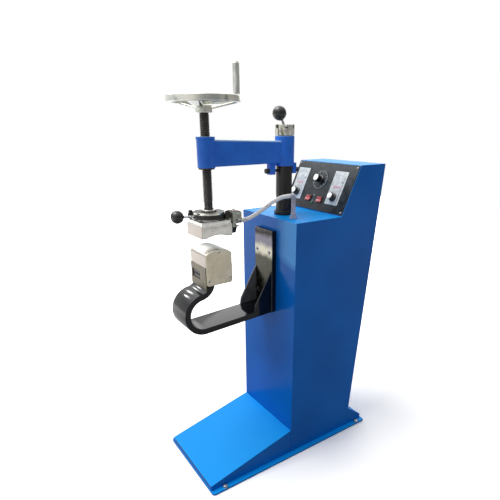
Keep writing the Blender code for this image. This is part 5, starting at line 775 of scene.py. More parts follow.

# The same blue enamel over a filled casting: deeper, with the skin of the sand mould left as
# low bumps 5 mm across. Faces and edges that look up are painted pale, a painted highlight
# from above.
cast_enamel = new_material("blue_enamel_on_casting", Specular_IOR_Level=0.3)
shade(cast_enamel, clouds(cast_enamel, 60), ("#2274ea", "#2a80f6"), (0.14, 0.24))
layer(cast_enamel, clouds(cast_enamel, 9, detail=5.0), "#1c62cc", 0.32, (0.6, 0.9))
# Painted highlight: faces that look up turn pale blue.
layer(cast_enamel, reading(cast_enamel, "Normal", 2), "#bfe0fa", 0.3, (0.2, 0.7))
emboss(cast_enamel, clouds(cast_enamel, 5.0), 0.12)


def beam_rings(steps):
    """Rings of the beam along Y. Its half width is that of the beam, and a share e to the
    minus distance over the fillet more near a boss. Its ends follow the walls of the bosses."""
    height = arm_tops[1] - arm_bottom
    section = rounded(rectangle(-arm_half, 0, arm_half, height), arm_corners)
    share = np.linspace(0, 1, steps)[:, None]
    ends = press_y + flare_starts[0], column_y - flare_starts[1]
    y = ends[0] + (ends[1] - ends[0]) * share
    flare = np.exp((ends[0] - y) / fillet) + np.exp((y - ends[1]) / fillet)
    x = section[None, :, 0] * (1 + fillet / arm_half * flare)
    front = press_y + np.sqrt(wall_radii[0] ** 2 - x ** 2)
    rear = column_y - np.sqrt(wall_radii[1] ** 2 - x ** 2)
    y = front + (rear - front) * share
    over = (arm_tops[0] - arm_tops[1]) * (1 - share) * (section[None, :, 1] > height / 2)
    return np.stack([x, y, arm_bottom + section[None, :, 1] + over], -1)


casting = [surface(beam_rings(140)), turned(front_boss, front_edge, press_axis, ring=True),
           turned(rear_boss, rear_edge, column_axis, ring=True)]
casting += [slab(rounded(rectangle(-lug_half, low, lug_half, high), lug_corner), lug_foot, top,
                 lug_edge) for low, high, top in lugs]
fit(build("swing_arm_casting", *casting), cast_enamel, "swing_arm", "blue_paint", "swing_arm")

# Cast bronze, bored and turned: painted dark brown in clouds of 8 mm, as painted shade.
bronze = new_material("bronze_cast_turned", Metallic=1.0)
shade(bronze, clouds(bronze, 8), ("#3d3226", "#5c4a34"), (0.35, 0.5))
refinish(bronze, "column_bush", "spindle_nut")

# Oxide blacked bolts: soft black steel with brown edges, dull in clouds of 5 mm.
black_bolt = new_material("steel_bolt_oxide_blacked", Metallic=0.4, IOR=1.6)
shade(black_bolt, clouds(black_bolt, 5), ("#1d1c1c", "#2f2b29"), (0.35, 0.5))
shank_radius, shank_chamfer, head_overlap = 0.005, 0.001, 0.001
stop_across, stop_head = 0.017, 0.013
for name, seat, tip, outward in (("front", 0.0032, 0.0444, -1), ("rear", 0.1248, 0.1056, 1)):
    place, out, low = (0, seat, bolt_z), (0, outward, 0), -abs(tip - seat)
    shank = [(0, head_overlap), (shank_radius, head_overlap),
             (shank_radius, low + shank_chamfer), (shank_radius - shank_chamfer, low), (0, low)]
    fit(build("stop_bolt_hex_" + name, hexagon(stop_across, 0, stop_head, place, out),
              turned(shank, 0, place, out, steps=36)),
        black_bolt, "swing_arm", "black_oxide", "stop_bolt_" + name)

# Castle nut: turned from bright bar, with six slots milled across its crown. It holds the arm
# down on the column's shoulder and carries the clamp lever in its hollow.
nut_radius, nut_bore, crown_bore = 0.035, 0.0203, 0.024
slot_half, slot_floor, crown_top = 0.0055, 1.3086, 1.3211
nut_edges = (0.0008, 0.003, 0.002, 0.0012, 0.0012, 0.0008)

# Bright turned steel: silver grey under clear oil, with rings from the tool drawn 1 mm apart
# and brownish clouds of 7 mm that are painted reflections.
bright_steel = new_material("steel_turned_bright", Metallic=1.0)
shade(bright_steel, clouds(bright_steel, 14), ("#b9bab2", "#e4e2da"), (0.12, 0.22))
layer(bright_steel, clouds(bright_steel, 7, detail=4.0), "#8c8a68", 0.34, (0.56, 0.76))
emboss(bright_steel, clouds(bright_steel, 8, stretch=(1, 1, 8), detail=1.0), 0.012)

# The nut's steel has olive and dark streaks of 9 mm down its side, painted reflections.
nut_steel = bright_steel.copy()
nut_steel.name = "steel_turned_reflection_streaked"
layer(nut_steel, clouds(nut_steel, 9, stretch=(1, 1, 0.15), detail=1.0), "#72745c", 0.16,
      (0.54, 0.64))

profile = rounded([(nut_bore, nut_base), (nut_radius, nut_base), (nut_radius, crown_top),
                   (crown_bore, crown_top), (crown_bore, column_top), (nut_bore, column_top)],
                  nut_edges, steps=4)
turn = np.linspace(0, 2 * math.pi, 360, endpoint=False)
off_slot = np.abs(np.mod(turn, math.pi / 3) - math.pi / 6) * nut_radius
radii, heights = profile[:, :1], profile[:, 1:]
heights = np.where(off_slot < slot_half, np.minimum(heights, slot_floor), heights)
radii = np.broadcast_to(radii, heights.shape)
fit(build("castle_nut_slotted",
          surface(lathe(radii, heights, column_axis, steps=360), wrap=True)),
    nut_steel, "root", "polished_steel", "castle_nut")

# Clamp lever: a turned hub with a rod screwed in at a slant, and a black ball on its end. A
# stud below the hub goes into the castle nut's hollow and presses on the column.
hub_base, hub_radius, hub_height, hub_edge = 1.3059, 0.015, 0.010, 0.002
stud_radius, stud_foot, stud_top = 0.006, 1.2845, 1.3069
clamp_ball, ball_radius = np.array([0, 0.050, 1.358]), 0.025
rod_radius, rod_in_ball = 0.0045, 0.002
collar_share, flat_angle = 0.27, 0.34

# Phenolic ball knob, pressed and buffed: the deepest black on the machine, with a wet gloss
# and faint buffing haze in clouds of 12 mm.
phenolic = new_material("phenolic_ball_buffed", IOR=1.5, Coat_Weight=0.25, Coat_Roughness=0.04)
shade(phenolic, clouds(phenolic, 12), ("#08080a", "#121215"), (0.12, 0.2))
emboss(phenolic, clouds(phenolic, 6.0), 0.01)

# Chromed rod: drawn steel, plated, with a blue cast and fine lengthwise lines.
chromed = new_material("steel_rod_chromed", Metallic=1.0)
shade(chromed, clouds(chromed, 10), ("#8c8f96", "#c3c6cc"), (0.12, 0.22))
emboss(chromed, clouds(chromed, 5.0), 0.008)


def ball_knob(centre, radius, axis):
    """A ball on a rod, with a flat where the rod enters: radius sin t and -radius cos t, with t
    from the flat's edge to the pole, and a low collar round the rod."""
    turn = np.linspace(flat_angle, math.pi, 40)
    wide = np.concatenate([[0, collar_share, collar_share], np.sin(turn)])
    high = np.concatenate([[-1, -1, -math.cos(flat_angle)], -np.cos(turn)])
    return surface(lathe(radius * wide, radius * high, centre, axis))


def straight_rod(start, end, radius):
    """A plain rod with slightly rounded ends, turned about the line from start to end."""
    run = np.array(end, float) - np.array(start, float)
    return plug(radius, 0, np.linalg.norm(run), radius * 0.2, start, run, steps=32)


lever_foot = np.array([0, column_y, hub_base + hub_height / 2])
reach = (clamp_ball - lever_foot) / np.linalg.norm(clamp_ball - lever_foot)
fit(build("clamp_lever_rod",
          plug(hub_radius, hub_base, hub_base + hub_height, hub_edge, column_axis),
          straight_rod((0, column_y, stud_foot), (0, column_y, stud_top), stud_radius),
          straight_rod(lever_foot, clamp_ball - reach * (ball_radius - rod_in_ball), rod_radius)),
    chromed, "clamp", "steel", "clamp_lever")
fit(build("clamp_ball_knob", ball_knob(clamp_ball, ball_radius, reach)), phenolic, "clamp",
    "black_plastic", "clamp_ball")

# Spindle: a 32 mm trapezoid thread of 6 mm lead, cut in steel and blacked, with a journal for
# the handwheel, a smaller thread for its nut, and a button on its tip inside the head.
thread_radius_top, thread_depth, lead = 0.016, 0.0017, 0.006
thread_start, thread_step, thread_fade = 0.001, 0.0006, 0.004
flank_rise, flank_slope = 1.7, 5.0
spindle_shoulder, hub_bottom, wheel_hub_top = 1.0327, 1.355, 1.379
tip_chamfers, chamfer_radius = (1.0347, 1.0332), 0.0145
tip_neck, button_radius, button_top, button_foot = 0.009, 0.013, 1.0120, 1.0080
stub_radii, stub_foot, stub_top, stub_edge = (0.012, 0.009), 1.353, 1.3918, 0.001
hub_nut_across, hub_nut_height = 0.030, 0.012


def thread_rings(low, high, step, steps):
    """Rings of the thread. With the share of a turn, height over lead less angle over a full
    turn, and its distance from the middle of a turn, the flank is the rise less the slope
    times that distance, cut off at the root and the crest. It fades out at both ends."""
    height = np.arange(low, high, step)[:, None]
    turn = np.linspace(0, 2 * math.pi, steps, endpoint=False)[None]
    phase = np.mod(height / lead - turn / (2 * math.pi), 1.0)
    crest = np.clip(flank_rise - flank_slope * np.abs(phase - 0.5), 0, 1)
    fade = np.clip(np.minimum(height - low, high - height) / thread_fade, 0, 1)
    radius = thread_radius_top - thread_depth * (1 - crest * fade)
    return lathe(radius, np.broadcast_to(height, radius.shape), press_axis, steps=steps)


# Oxide blacked thread: charcoal with brown grease in the roots, in clouds of 10 mm, and torn
# flanks drawn as a 1.6 mm grain.
black_thread = new_material("steel_thread_blacked", Metallic=0.35, IOR=1.65)
shade(black_thread, clouds(black_thread, 10), ("#232120", "#3d3835"), (0.34, 0.5))
emboss(black_thread, clouds(black_thread, 1.6), 0.12)

tip = [(0, tip_chamfers[0]), (chamfer_radius, tip_chamfers[0]),
       (thread_radius_top, tip_chamfers[1]), (thread_radius_top, spindle_shoulder),
       (tip_neck, spindle_shoulder), (tip_neck, button_top), (button_radius, button_top),
       (button_radius, button_foot), (0, button_foot)]
stub = [(0, stub_top), (stub_radii[1], stub_top), (stub_radii[1], wheel_hub_top),
        (stub_radii[0], wheel_hub_top), (stub_radii[0], stub_foot), (0, stub_foot)]
fit(build("spindle_threaded",
          surface(thread_rings(spindle_shoulder + thread_start, hub_bottom - seat_gap,
                               thread_step, 40)),
          turned(tip, 0, press_axis), turned(stub, stub_edge, press_axis)),
    black_thread, "spindle", "black_oxide", "spindle")
fit(build("hub_nut", hexagon(hub_nut_across, wheel_hub_top + seat_gap,
                             wheel_hub_top + hub_nut_height, press_axis)),
    bright_steel, "spindle", "steel")

# Handwheel: cast aluminium, turned on its tall flat rim and polished, with three flat spokes
# that rise from the hub, and a pin riveted into the rim for the grip.
rim_radii, rim_heights, rim_corner = (0.101, 0.118), (1.385, 1.406), 0.004
wheel_hub, wheel_hub_corner = (0.0123, 0.027), 0.003
spoke_half_widths, spoke_thick, spoke_corner = (0.014, 0.020), 0.007, 0.0028
spoke_low, spoke_high, spoke_from, spoke_to = 1.367, 1.3885, 0.013, 0.1095
first_spoke = math.radians(-44)

# Polished aluminium: mirror bright but soft, with cream and green grey clouds of 50 mm that
# are painted reflections, a little duller in the green grey, and turning lines drawn 1.5 mm
# apart round the rim.
polished_aluminium = new_material("aluminium_cast_polished", Metallic=1.0)
shade(polished_aluminium, clouds(polished_aluminium, 50), ("#bfc4c0", "#ebe6d8"), (0.1, 0.2))
layer(polished_aluminium, clouds(polished_aluminium, 30, detail=4.0), "#8f9a92", 0.26,
      (0.54, 0.74))
emboss(polished_aluminium, clouds(polished_aluminium, 12, stretch=(1, 1, 8), detail=1.0), 0.03)


def spoke_rings(angle, steps):
    """Rings of one flat spoke: a rounded bar whose half width grows evenly from hub to rim,
    carried along a straight line that rises to the underside of the rim."""
    share = np.linspace(0, 1, steps)[:, None]
    out = spoke_from + (spoke_to - spoke_from) * share
    path = np.concatenate([out * math.cos(angle), press_y + out * math.sin(angle),
                           spoke_low + (spoke_high - spoke_low) * share], 1)
    narrow, broad = spoke_half_widths
    bar = rounded(rectangle(-narrow, -spoke_thick / 2, narrow, spoke_thick / 2), spoke_corner)
    section = np.stack([bar[:, 0] * (1 + (broad / narrow - 1) * share),
                        np.broadcast_to(bar[:, 1], (steps, len(bar)))], -1)
    return swept(section, path, (0, 0, 1))


wheel = [collar(rim_radii, rim_heights, rim_corner, press_axis, steps=160),
         collar(wheel_hub, (hub_bottom, wheel_hub_top), wheel_hub_corner, press_axis)]
wheel += [surface(spoke_rings(first_spoke + step * 2 * math.pi / 3, 16)) for step in range(3)]
fit(build("handwheel_cast", *wheel), polished_aluminium, "spindle", "polished_steel",
    "handwheel")

# Grip: a turned steel tube with a narrow neck, which spins on the pin riveted into the rim. Its
# steel is satin, and pale where hands rub it.
grip_axis = (0.02649, -0.14175, 0)
grip_bore, grip_neck, grip_radius = 0.0046, 0.009, 0.011
grip_foot, grip_flare, grip_top = 1.4066, 1.4146, 1.5001
grip_edges = (0.0003, 0.001, 0.004, 0.0016, 0.0003)
rivet = [(0, 1.5057), (0.0062, 1.5057), (0.0085, 1.5032), (0.0085, 1.5007), (0.004, 1.5007),
         (0.004, 1.392), (0, 1.392)]
rivet_edge = 0.0008

# Steel tube, drawn and polished along its length: pale satin grey, worn in clouds of 20 mm.
satin_steel = new_material("steel_tube_satin", Metallic=1.0)
shade(satin_steel, clouds(satin_steel, 20, stretch=(1, 1, 0.4)), ("#b2b6b0", "#dedfda"),
      (0.2, 0.32))
emboss(satin_steel, clouds(satin_steel, 6, stretch=(1, 1, 6), detail=1.0), 0.012)

tube = [(grip_bore, grip_foot), (grip_neck, grip_foot), (grip_radius, grip_flare),
        (grip_radius, grip_top), (grip_bore, grip_top)]
fit(build("grip_tube", turned(tube, grip_edges, grip_axis, ring=True, corner=6)), satin_steel,
    "grip", "steel", "handwheel_grip")
fit(build("grip_pin_riveted", turned(rivet, rivet_edge, grip_axis)), bright_steel, "spindle",
    "steel")

# Press head: a thrust collar and a disc turn on the spindle's end. Under them a ring with two
# ears is bolted through the plate, and a lever in it turns the head.
collar_radii, collar_heights, collar_edge = (0.0166, 0.028), (1.0451, 1.0521), 0.0012
disc_radii, disc_heights, disc_edge = (0.0166, 0.0545), (1.0374, 1.0448), 0.0014
ear_radius, ear_angles, ear_edge, ring_top = 0.0645, np.radians([50, 230]), 0.0009, 1.0374
disc_bolt_across, disc_bolt_head, disc_bolt_radius, disc_bolt_foot = 0.014, 0.010, 0.004, 1.0058

fit(build("thrust_collar_turned", collar(collar_radii, collar_heights, collar_edge, press_axis)),
    bright_steel, "press_hub", "polished_steel", "thrust_collar")
refinish(bright_steel, "thrust_bearing")
disc = fit(build("swivel_disc_turned",
                 collar(disc_radii, disc_heights, disc_edge, press_axis, steps=120)),
           black_bolt, "head", "black_oxide", "swivel_disc")
face_patch(disc, bright_steel, lambda normals: np.abs(normals[:, 2]) < 0.8)
softened("disc_ring", ear_edge, black_bolt, "black_oxide", "head")
for name, angle in zip(("right", "left"), ear_angles):
    x, y = ear_radius * math.cos(angle), press_y + ear_radius * math.sin(angle)
    fit(build("disc_bolt_hex_" + name,
              hexagon(disc_bolt_across, ring_top, ring_top + disc_bolt_head, (x, y, 0)),
              straight_rod((x, y, disc_bolt_foot), (x, y, ring_top + head_overlap),
                           disc_bolt_radius)),
        black_bolt, "head", "black_oxide", "disc_bolt_" + name)

# Head plate and upper heating plate: bright milled aluminium bar over a cast block that is
# hollowed underneath to the crown of the lower plate.
plate_half, plate_depth, plate_low, plate_high = 0.054, 0.056, 1.0056, 1.0171
plate_corner, plate_edge, spacer_radius, spacer_top = 0.002, 0.0008, 0.044, 1.0221
upper_half, upper_depth, upper_foot, upper_top = 0.0575, 0.0595, 0.963, 1.0053
hollow, upper_edge = 0.008, 0.0025

# Aluminium bar, freshly milled: near white, with the cutter's sweeps 4 mm apart.
bright_aluminium = new_material("aluminium_bar_milled", Metallic=1.0)
shade(bright_aluminium, clouds(bright_aluminium, 40), ("#dcdbd7", "#f2f1ee"), (0.24, 0.34))
emboss(bright_aluminium, clouds(bright_aluminium, 30, stretch=(7, 1, 7), detail=1.0), 0.02)

plan = rounded(rectangle(-plate_half, press_y - plate_depth, plate_half, press_y + plate_depth),
               plate_corner)
fit(build("head_plate_milled", slab(plan, plate_low, plate_high, plate_edge),
          plug(spacer_radius, plate_high, spacer_top, plate_edge, press_axis)),
    bright_aluminium, "head", "aluminium", "head_base_plate")
turn = np.linspace(-1, 1, 33) * math.acos(1 - hollow / crown_radius)
arch = np.stack([press_y + crown_radius * np.sin(turn),
                 upper_foot + hollow - crown_radius * (1 - np.cos(turn))], -1)
sides = [(press_y + upper_depth, upper_foot), (press_y + upper_depth, upper_top),
         (press_y - upper_depth, upper_top), (press_y - upper_depth, upper_foot)]
fit(build("upper_plate_hollowed", slab(np.concatenate([arch, sides]), -upper_half, upper_half,
                                       upper_edge, "yzx")),
    milled_aluminium, "head", "aluminium", "upper_heat_block")

# Head lever: a chromed rod screwed into the front of the ring, with a smaller black ball. It
# turns the head under the spindle.
head_ball, head_ball_radius = np.array([0, -0.366, 1.037]), 0.0225
lever_root, lever_radius = np.array([0, -0.294, 1.02975]), 0.004
reach = (head_ball - lever_root) / np.linalg.norm(head_ball - lever_root)
fit(build("head_lever_rod",
          straight_rod(lever_root, head_ball - reach * (head_ball_radius - rod_in_ball),
                       lever_radius)),
    chromed, "head", "steel", "head_lever")
fit(build("head_ball_knob", ball_knob(head_ball, head_ball_radius, reach)), phenolic, "head",
    "black_plastic", "head_ball")

# Terminal box: folded sheet, zinc plated, screwed to the back of the head, with a brown
# fibre cover plate. The hose enters it through a gland, and a rubber boot hangs from its lip.
box_x, box_y, box_top, box_edge = (0.005, 0.055), (-0.185, -0.148), 1.041, 0.0009
lid_inset, lid_thickness, lid_corner, lid_edge = 0.003, 0.0022, 0.003, 0.0006
lid_screw, lid_screw_xs, lid_screw_ys = (0.0032, 0.002), (0.012, 0.048), (-0.178, -0.155)
gland_place, gland_way = (0.030, -0.1717, 1.005), (0, 1, 0)
gland_nut_across, gland_nut_length, gland_dome_edge = 0.0205, 0.0125, 0.001
gland_dome = [(0.0079, 0.0302), (0.00819, 0.0302), (0.00966, 0.013), (0.0079, 0.012)]
boot_place, boot_top, boot_height = (0.030, -0.171), 0.9897, 0.024
boot_halves, boot_corner, boot_ribs, rib_depth = (0.0085, 0.013), 0.35, 5, 0.0006

# Zinc plated sheet that has been hot: pale green grey with brown stains of 16 mm.
stained_zinc = new_material("zinc_plated_sheet_stained", Metallic=0.8)
shade(stained_zinc, clouds(stained_zinc, 16), ("#b9c4b8", "#857b72"), (0.32, 0.46))
emboss(stained_zinc, clouds(stained_zinc, 1.2), 0.03)
softened("terminal_box", box_edge, stained_zinc, "zinc", "head")

# Paper based laminate, sawn: brown, with a fibrous 2 mm fleck and a dull resin shine.
laminate = new_material("paper_laminate_sawn", IOR=1.55)
shade(laminate, clouds(laminate, 2.0, stretch=(1, 3, 1)), ("#4b3526", "#6e5138"), (0.4, 0.55))
emboss(laminate, clouds(laminate, 1.2), 0.03)
lid = rounded(rectangle(box_x[0] + lid_inset, box_y[0] + lid_inset, box_x[1] - lid_inset,
                        box_y[1] - lid_inset), lid_corner)
lid_top = box_top + lid_thickness
fit(build("terminal_cover", slab(lid, box_top, lid_top, lid_edge)), laminate, "head", "zinc")
fit(build("terminal_cover_screws", *[pan_screw((x, y, lid_top), (0, 0, 1), *lid_screw)
                                     for x in lid_screw_xs for y in lid_screw_ys]),
    zinc, "head", "zinc")
fit(build("hose_gland_nut",
          hexagon(gland_nut_across, 0, gland_nut_length, gland_place, gland_way),
          turned(gland_dome, gland_dome_edge, gland_place, gland_way, ring=True)),
    stained_zinc, "head", "zinc", "hose_gland")

# Nitrile rubber, moulded: matt black, with a grey bloom in clouds of 8 mm.
nitrile = new_material("nitrile_rubber_moulded", IOR=1.52)
shade(nitrile, clouds(nitrile, 8), ("#151515", "#252525"), (0.55, 0.7))
emboss(nitrile, clouds(nitrile, 1.5), 0.05)


def boot_rings(steps):
    """Rings of the boot, a rounded square. Its half width shrinks evenly from top to foot, and
    is less by a rib's depth times one minus the cosine of the drop times the ribs' turns."""
    square = rounded(rectangle(-1, -1, 1, 1), boot_corner, steps=6)
    drop = np.linspace(0, 1, steps)[:, None, None]
    ribs = rib_depth * (np.cos(drop * boot_ribs * 2 * math.pi) - 1)
    half = boot_halves[1] + (boot_halves[0] - boot_halves[1]) * drop + ribs
    heights = np.broadcast_to(boot_top - boot_height * drop, (steps, len(square), 1))
    return np.concatenate([square * half + boot_place, heights], -1)


fit(build("terminal_boot_ribbed", surface(boot_rings(25))), nitrile, "head", "black_rubber",
    "terminal_boot")

# Control panel: a black enamelled sheet on the slope, with four pan screws. All that sits on
# it is placed by how far it lies across, up and off the slope.
panel_foot = np.array([0, 0.215, 1.0])
panel_frame = np.array([(1, 0, 0), (0, 0.42701, 0.90425), (0, -0.90425, 0.42701)])
panel_half, panel_low, panel_high, panel_face = 0.173, 0.003, 0.19606, 0.0033
panel_corner, panel_screw = 0.003, (0.0038, 0.002)
panel_screw_places = [(across, up) for across in (-0.164, 0.164) for up in (0.012, 0.18706)]

# Black panel enamel, sprayed and stoved: glossy, with a blue grey haze in clouds of 25 mm.
panel_enamel = new_material("enamel_black_panel", Specular_IOR_Level=0.4)
shade(panel_enamel, clouds(panel_enamel, 25), ("#141a1f", "#26313a"), (0.24, 0.38))
emboss(panel_enamel, clouds(panel_enamel, 2.0), 0.015)


def on_panel(across, up, off):
    """The place in the machine's frame of a point given across, up and off the slope."""
    return panel_foot + np.array([across, up, off]) @ panel_frame


def panel_slab(outline, low, high, edge=0.0004):
    """A slab parallel to the panel, between two heights off the slope."""
    points, faces = slab(outline, low, high, edge)
    return points @ panel_frame + panel_foot, faces


def panel_screws(places, off, size):
    """Pan head screws square to the panel, at places across and up it. Size is radius and
    height."""
    return [pan_screw(on_panel(across, up, off), panel_frame[2], *size) for across, up in places]


sheet = rounded(rectangle(-panel_half, panel_low, panel_half, panel_high), panel_corner)
fit(build("panel_sheet", panel_slab(sheet, seat_gap, panel_face)), panel_enamel, "root",
    "black_paint", "panel_plate")
fit(build("panel_screws", *panel_screws(panel_screw_places, panel_face, panel_screw)), zinc,
    "root", "zinc")

# Scale plates of the thermostats: white enamelled aluminium with screen printed marks. Ticks,
# arcs and rules are 0.15 mm of ink, drawn as raised strokes.
scale_half, scale_low, scale_high, scale_corner = 0.035, 0.035, 0.167, 0.002
scale_foot, scale_top, knob_up, ink, ink_edge = 0.0036, 0.0046, 0.064, 0.00015, 0.00004
tick_radii, tick_width, tick_angles = (0.021, 0.025), 0.0008, np.arange(-135, 136, 27)
arc_radii, arc_ends = (0.0262, 0.0268), (-135, 135)
rule, margin = rectangle(-0.026, 0.150, 0.026, 0.1506), rectangle(0.0243, 0.038, 0.0261, 0.1475)
band, band_corner = rectangle(-0.020, 0.1005, 0.020, 0.1095), 0.002
scale_screw, scale_screw_across, scale_screw_up = (0.0026, 0.0014), 0.021, 0.125
thermostats = {"left": -0.1235, "right": 0.097}

# White enamel, stoved on aluminium: a cool white with a pinkish band where the heat of the
# shaft has yellowed the print, in clouds of 16 mm.
white_enamel = new_material("enamel_white_stoved", IOR=1.5, Coat_Weight=0.4,
                            Coat_Roughness=0.1)
shade(white_enamel, clouds(white_enamel, 16), ("#d0d8de", "#e8efef"), (0.2, 0.34))
emboss(white_enamel, clouds(white_enamel, 3.0), 0.008)

# Screen ink: matt, thin and slightly uneven, so its edge breaks up at close range.
black_ink = new_material("screen_ink_grey", IOR=1.48)
shade(black_ink, clouds(black_ink, 1.5), ("#4c4650", "#6d6571"), (0.5, 0.65))
emboss(black_ink, clouds(black_ink, 0.8), 0.01)

# The rose ink of the band is thinner, and its colour drifts in clouds of 5 mm.
pink_ink = new_material("screen_ink_rose", IOR=1.48)
shade(pink_ink, clouds(pink_ink, 5), ("#cfa3b4", "#e6c9d2"), (0.5, 0.65))
emboss(pink_ink, clouds(pink_ink, 0.8), 0.01)


def printed(outline, low, place=(0, 0)):
    """Ink in an outline, moved to a place across and up, on a face at height low."""
    return panel_slab(np.array(outline) + place, low, low + ink, ink_edge)


def printed_arc(place, radii, low, start, end):
    """A printed band between two radii, from a start to an end angle in degrees, which are
    measured clockwise from straight up. Steps are 3 degrees."""
    turn = np.radians(np.linspace(start, end, (end - start) // 3))
    way = np.stack([np.sin(turn), np.cos(turn)], -1)
    return printed(np.concatenate([radii[0] * way, radii[1] * way[::-1]]), low, place)


def printed_ticks(place, radii, width, low, angles):
    """Radial printed ticks between two radii: one narrow slab for each of the angles."""
    ticks = []
    for angle in np.radians(angles):
        way = np.array([math.sin(angle), math.cos(angle)])
        inner, outer = radii[0] * way, radii[1] * way
        off = way[::-1] * (1, -1) * width / 2
        ticks.append(printed([inner - off, outer - off, outer + off, inner + off], low, place))
    return ticks


for name, across in thermostats.items():
    scale = rounded(rectangle(across - scale_half, scale_low, across + scale_half, scale_high),
                    scale_corner)
    fit(build("scale_plate_" + name, panel_slab(scale, scale_foot, scale_top)), white_enamel,
        "root", "white_plastic", "thermostat_" + name)
    marks = printed_ticks((across, knob_up), tick_radii, tick_width, scale_top, tick_angles)
    marks.append(printed_arc((across, knob_up), arc_radii, scale_top, *arc_ends))
    marks += [printed(line, scale_top, (across, 0))
              for line in ((rule, margin) if name == "right" else (rule,))]
    fit(build("scale_marks_" + name, *marks), black_ink, "root", "white_plastic")
    fit(build("scale_band_" + name, printed(rounded(band, band_corner), scale_top, (across, 0))),
        pink_ink, "root", "white_plastic")
holes = [(across + scale_screw_across, scale_screw_up) for across in thermostats.values()]
fit(build("scale_screws", *panel_screws(holes, scale_top, scale_screw)), black_bolt, "root",
    "white_plastic")

# Timer dial: a black enamelled disc with a thin ring and ticks in pale ink, two pale dots for
# the switches, and a black pan screw on each side.
timer_place, dial_radius, dial_edge = (-0.008, 0.125), 0.040, 0.0004
dial_ticks, dial_tick_width, dial_angles = (0.0285, 0.0335), 0.0012, np.arange(-150, 151, 30)
dial_arc, arc_span = (0.0355, 0.0367), 120
dot, dot_corner = rectangle(-0.0022, -0.0022, 0.0022, 0.0022), 0.0018
dots, timer_screw = ((-0.0125, 0.062), (-0.012, 0.0386)), (0.0034, 0.0018)
timer_screw_places = ((-0.059, 0.085), (0.041, 0.085))

# The same screen ink in pale grey: matt, and bright against the black disc.
pale_ink = new_material("screen_ink_pale", IOR=1.48)
shade(pale_ink, clouds(pale_ink, 1.5), ("#a9b8c2", "#cfdbe2"), (0.5, 0.65))
emboss(pale_ink, clouds(pale_ink, 0.8), 0.01)

dial = plug(dial_radius, scale_foot, scale_top, dial_edge, on_panel(*timer_place, 0),
            panel_frame[2])
fit(build("timer_dial_disc", dial), panel_enamel, "root", "white_plastic", "timer_unit")
marks = printed_ticks(timer_place, dial_ticks, dial_tick_width, scale_top, dial_angles)
marks += [printed_arc(timer_place, dial_arc, scale_top, start, start + arc_span)
          for start in range(0, 360, arc_span)]
marks += [printed(rounded(dot, dot_corner), panel_face, place) for place in dots]
fit(build("timer_marks", *marks), pale_ink, "root", "white_plastic")
fit(build("timer_screws", *panel_screws(timer_screw_places, panel_face, timer_screw)),
    black_bolt, "root", "black_paint")

# Knobs: pressed in black phenolic with a skirt, ribs for the fingers and a raised pointer, and
# capped with a disc of spun aluminium.
knob_base, skirt_height, skirt_rise = 0.0052, 0.004, 0.001
shaft_radius, shaft_depth = 0.0033, 0.012
knob_edges = (0, 0.0016, 0.0012, 0.0008, 0.0004, 0.0003, 0, 0)
flutes, flute_depth, flute_band, flute_run_in, flute_run_out = 24, 0.0005, 0.002, 0.0025, 0.001
pointer_half, pointer_reach, pointer_rise, pointer_corner = 0.001, 0.002, 0.0003, 0.0004
cap_inset, cap_height, cap_sunk, cap_edge = 0.0016, 0.0006, 0.0004, 0.0004
knob_rows = [("thermostat_knob_" + side, "knob_" + side, (across, knob_up), 0.017, 0.0135, 0.021)
             for side, across in thermostats.items()]
knob_rows.append(("timer_knob", "knob_timer", timer_place, 0.019, 0.014, 0.027))

# Spun aluminium cap, clear anodised: satin white, with rings drawn 0.8 mm apart.
spun_aluminium = new_material("aluminium_cap_anodised", Metallic=0.85)
shade(spun_aluminium, clouds(spun_aluminium, 8), ("#e4e6e8", "#fafafa"), (0.32, 0.46))
emboss(spun_aluminium, clouds(spun_aluminium, 0.8), 0.006)


def knob_rings(skirt, top, height, place, steps):
    """Rings of a knob: a profile with a skirt, a wall and a bore for the shaft goes round an
    axis. On the wall the radius t round is less by half the flutes' depth times 1 - cos of t
    times their number. That fades in above the skirt, and out where the top is rounded."""
    wall_foot = skirt_height + skirt_rise
    outline = rounded([(0, height), (top, height), (top, wall_foot), (skirt, skirt_height),
                       (skirt, 0), (shaft_radius, 0), (shaft_radius, shaft_depth),
                       (0, shaft_depth)], knob_edges, closed=False)
    radius, level = outline[:, :1], outline[:, 1:]
    fluted = np.clip((level - wall_foot) / flute_run_in, 0, 1) \
        * np.clip((radius - top + flute_band) / flute_run_out, 0, 1)
    turn = np.linspace(0, 2 * math.pi, steps, endpoint=False)
    radius = radius - flute_depth * fluted * (0.5 - 0.5 * np.cos(flutes * turn))
    return lathe(radius, np.broadcast_to(level, radius.shape), place, panel_frame[2], steps)


for node, body, (across, up), skirt, top, height in knob_rows:
    foot, crest = on_panel(across, up, knob_base), knob_base + height
    pointer = rounded(rectangle(across - pointer_half, up + top / 2, across + pointer_half,
                                up + top + pointer_reach), pointer_corner)
    fit(build(node + "_pressed", surface(knob_rings(skirt, top, height, foot, 120)),
              panel_slab(pointer, crest - height / 2, crest + pointer_rise)),
        phenolic, body, "black_plastic", node)
    fit(build(node + "_cap", plug(top - cap_inset, height - cap_sunk, height + cap_height,
                                  cap_edge, foot, panel_frame[2])),
        spun_aluminium, body, "black_plastic")

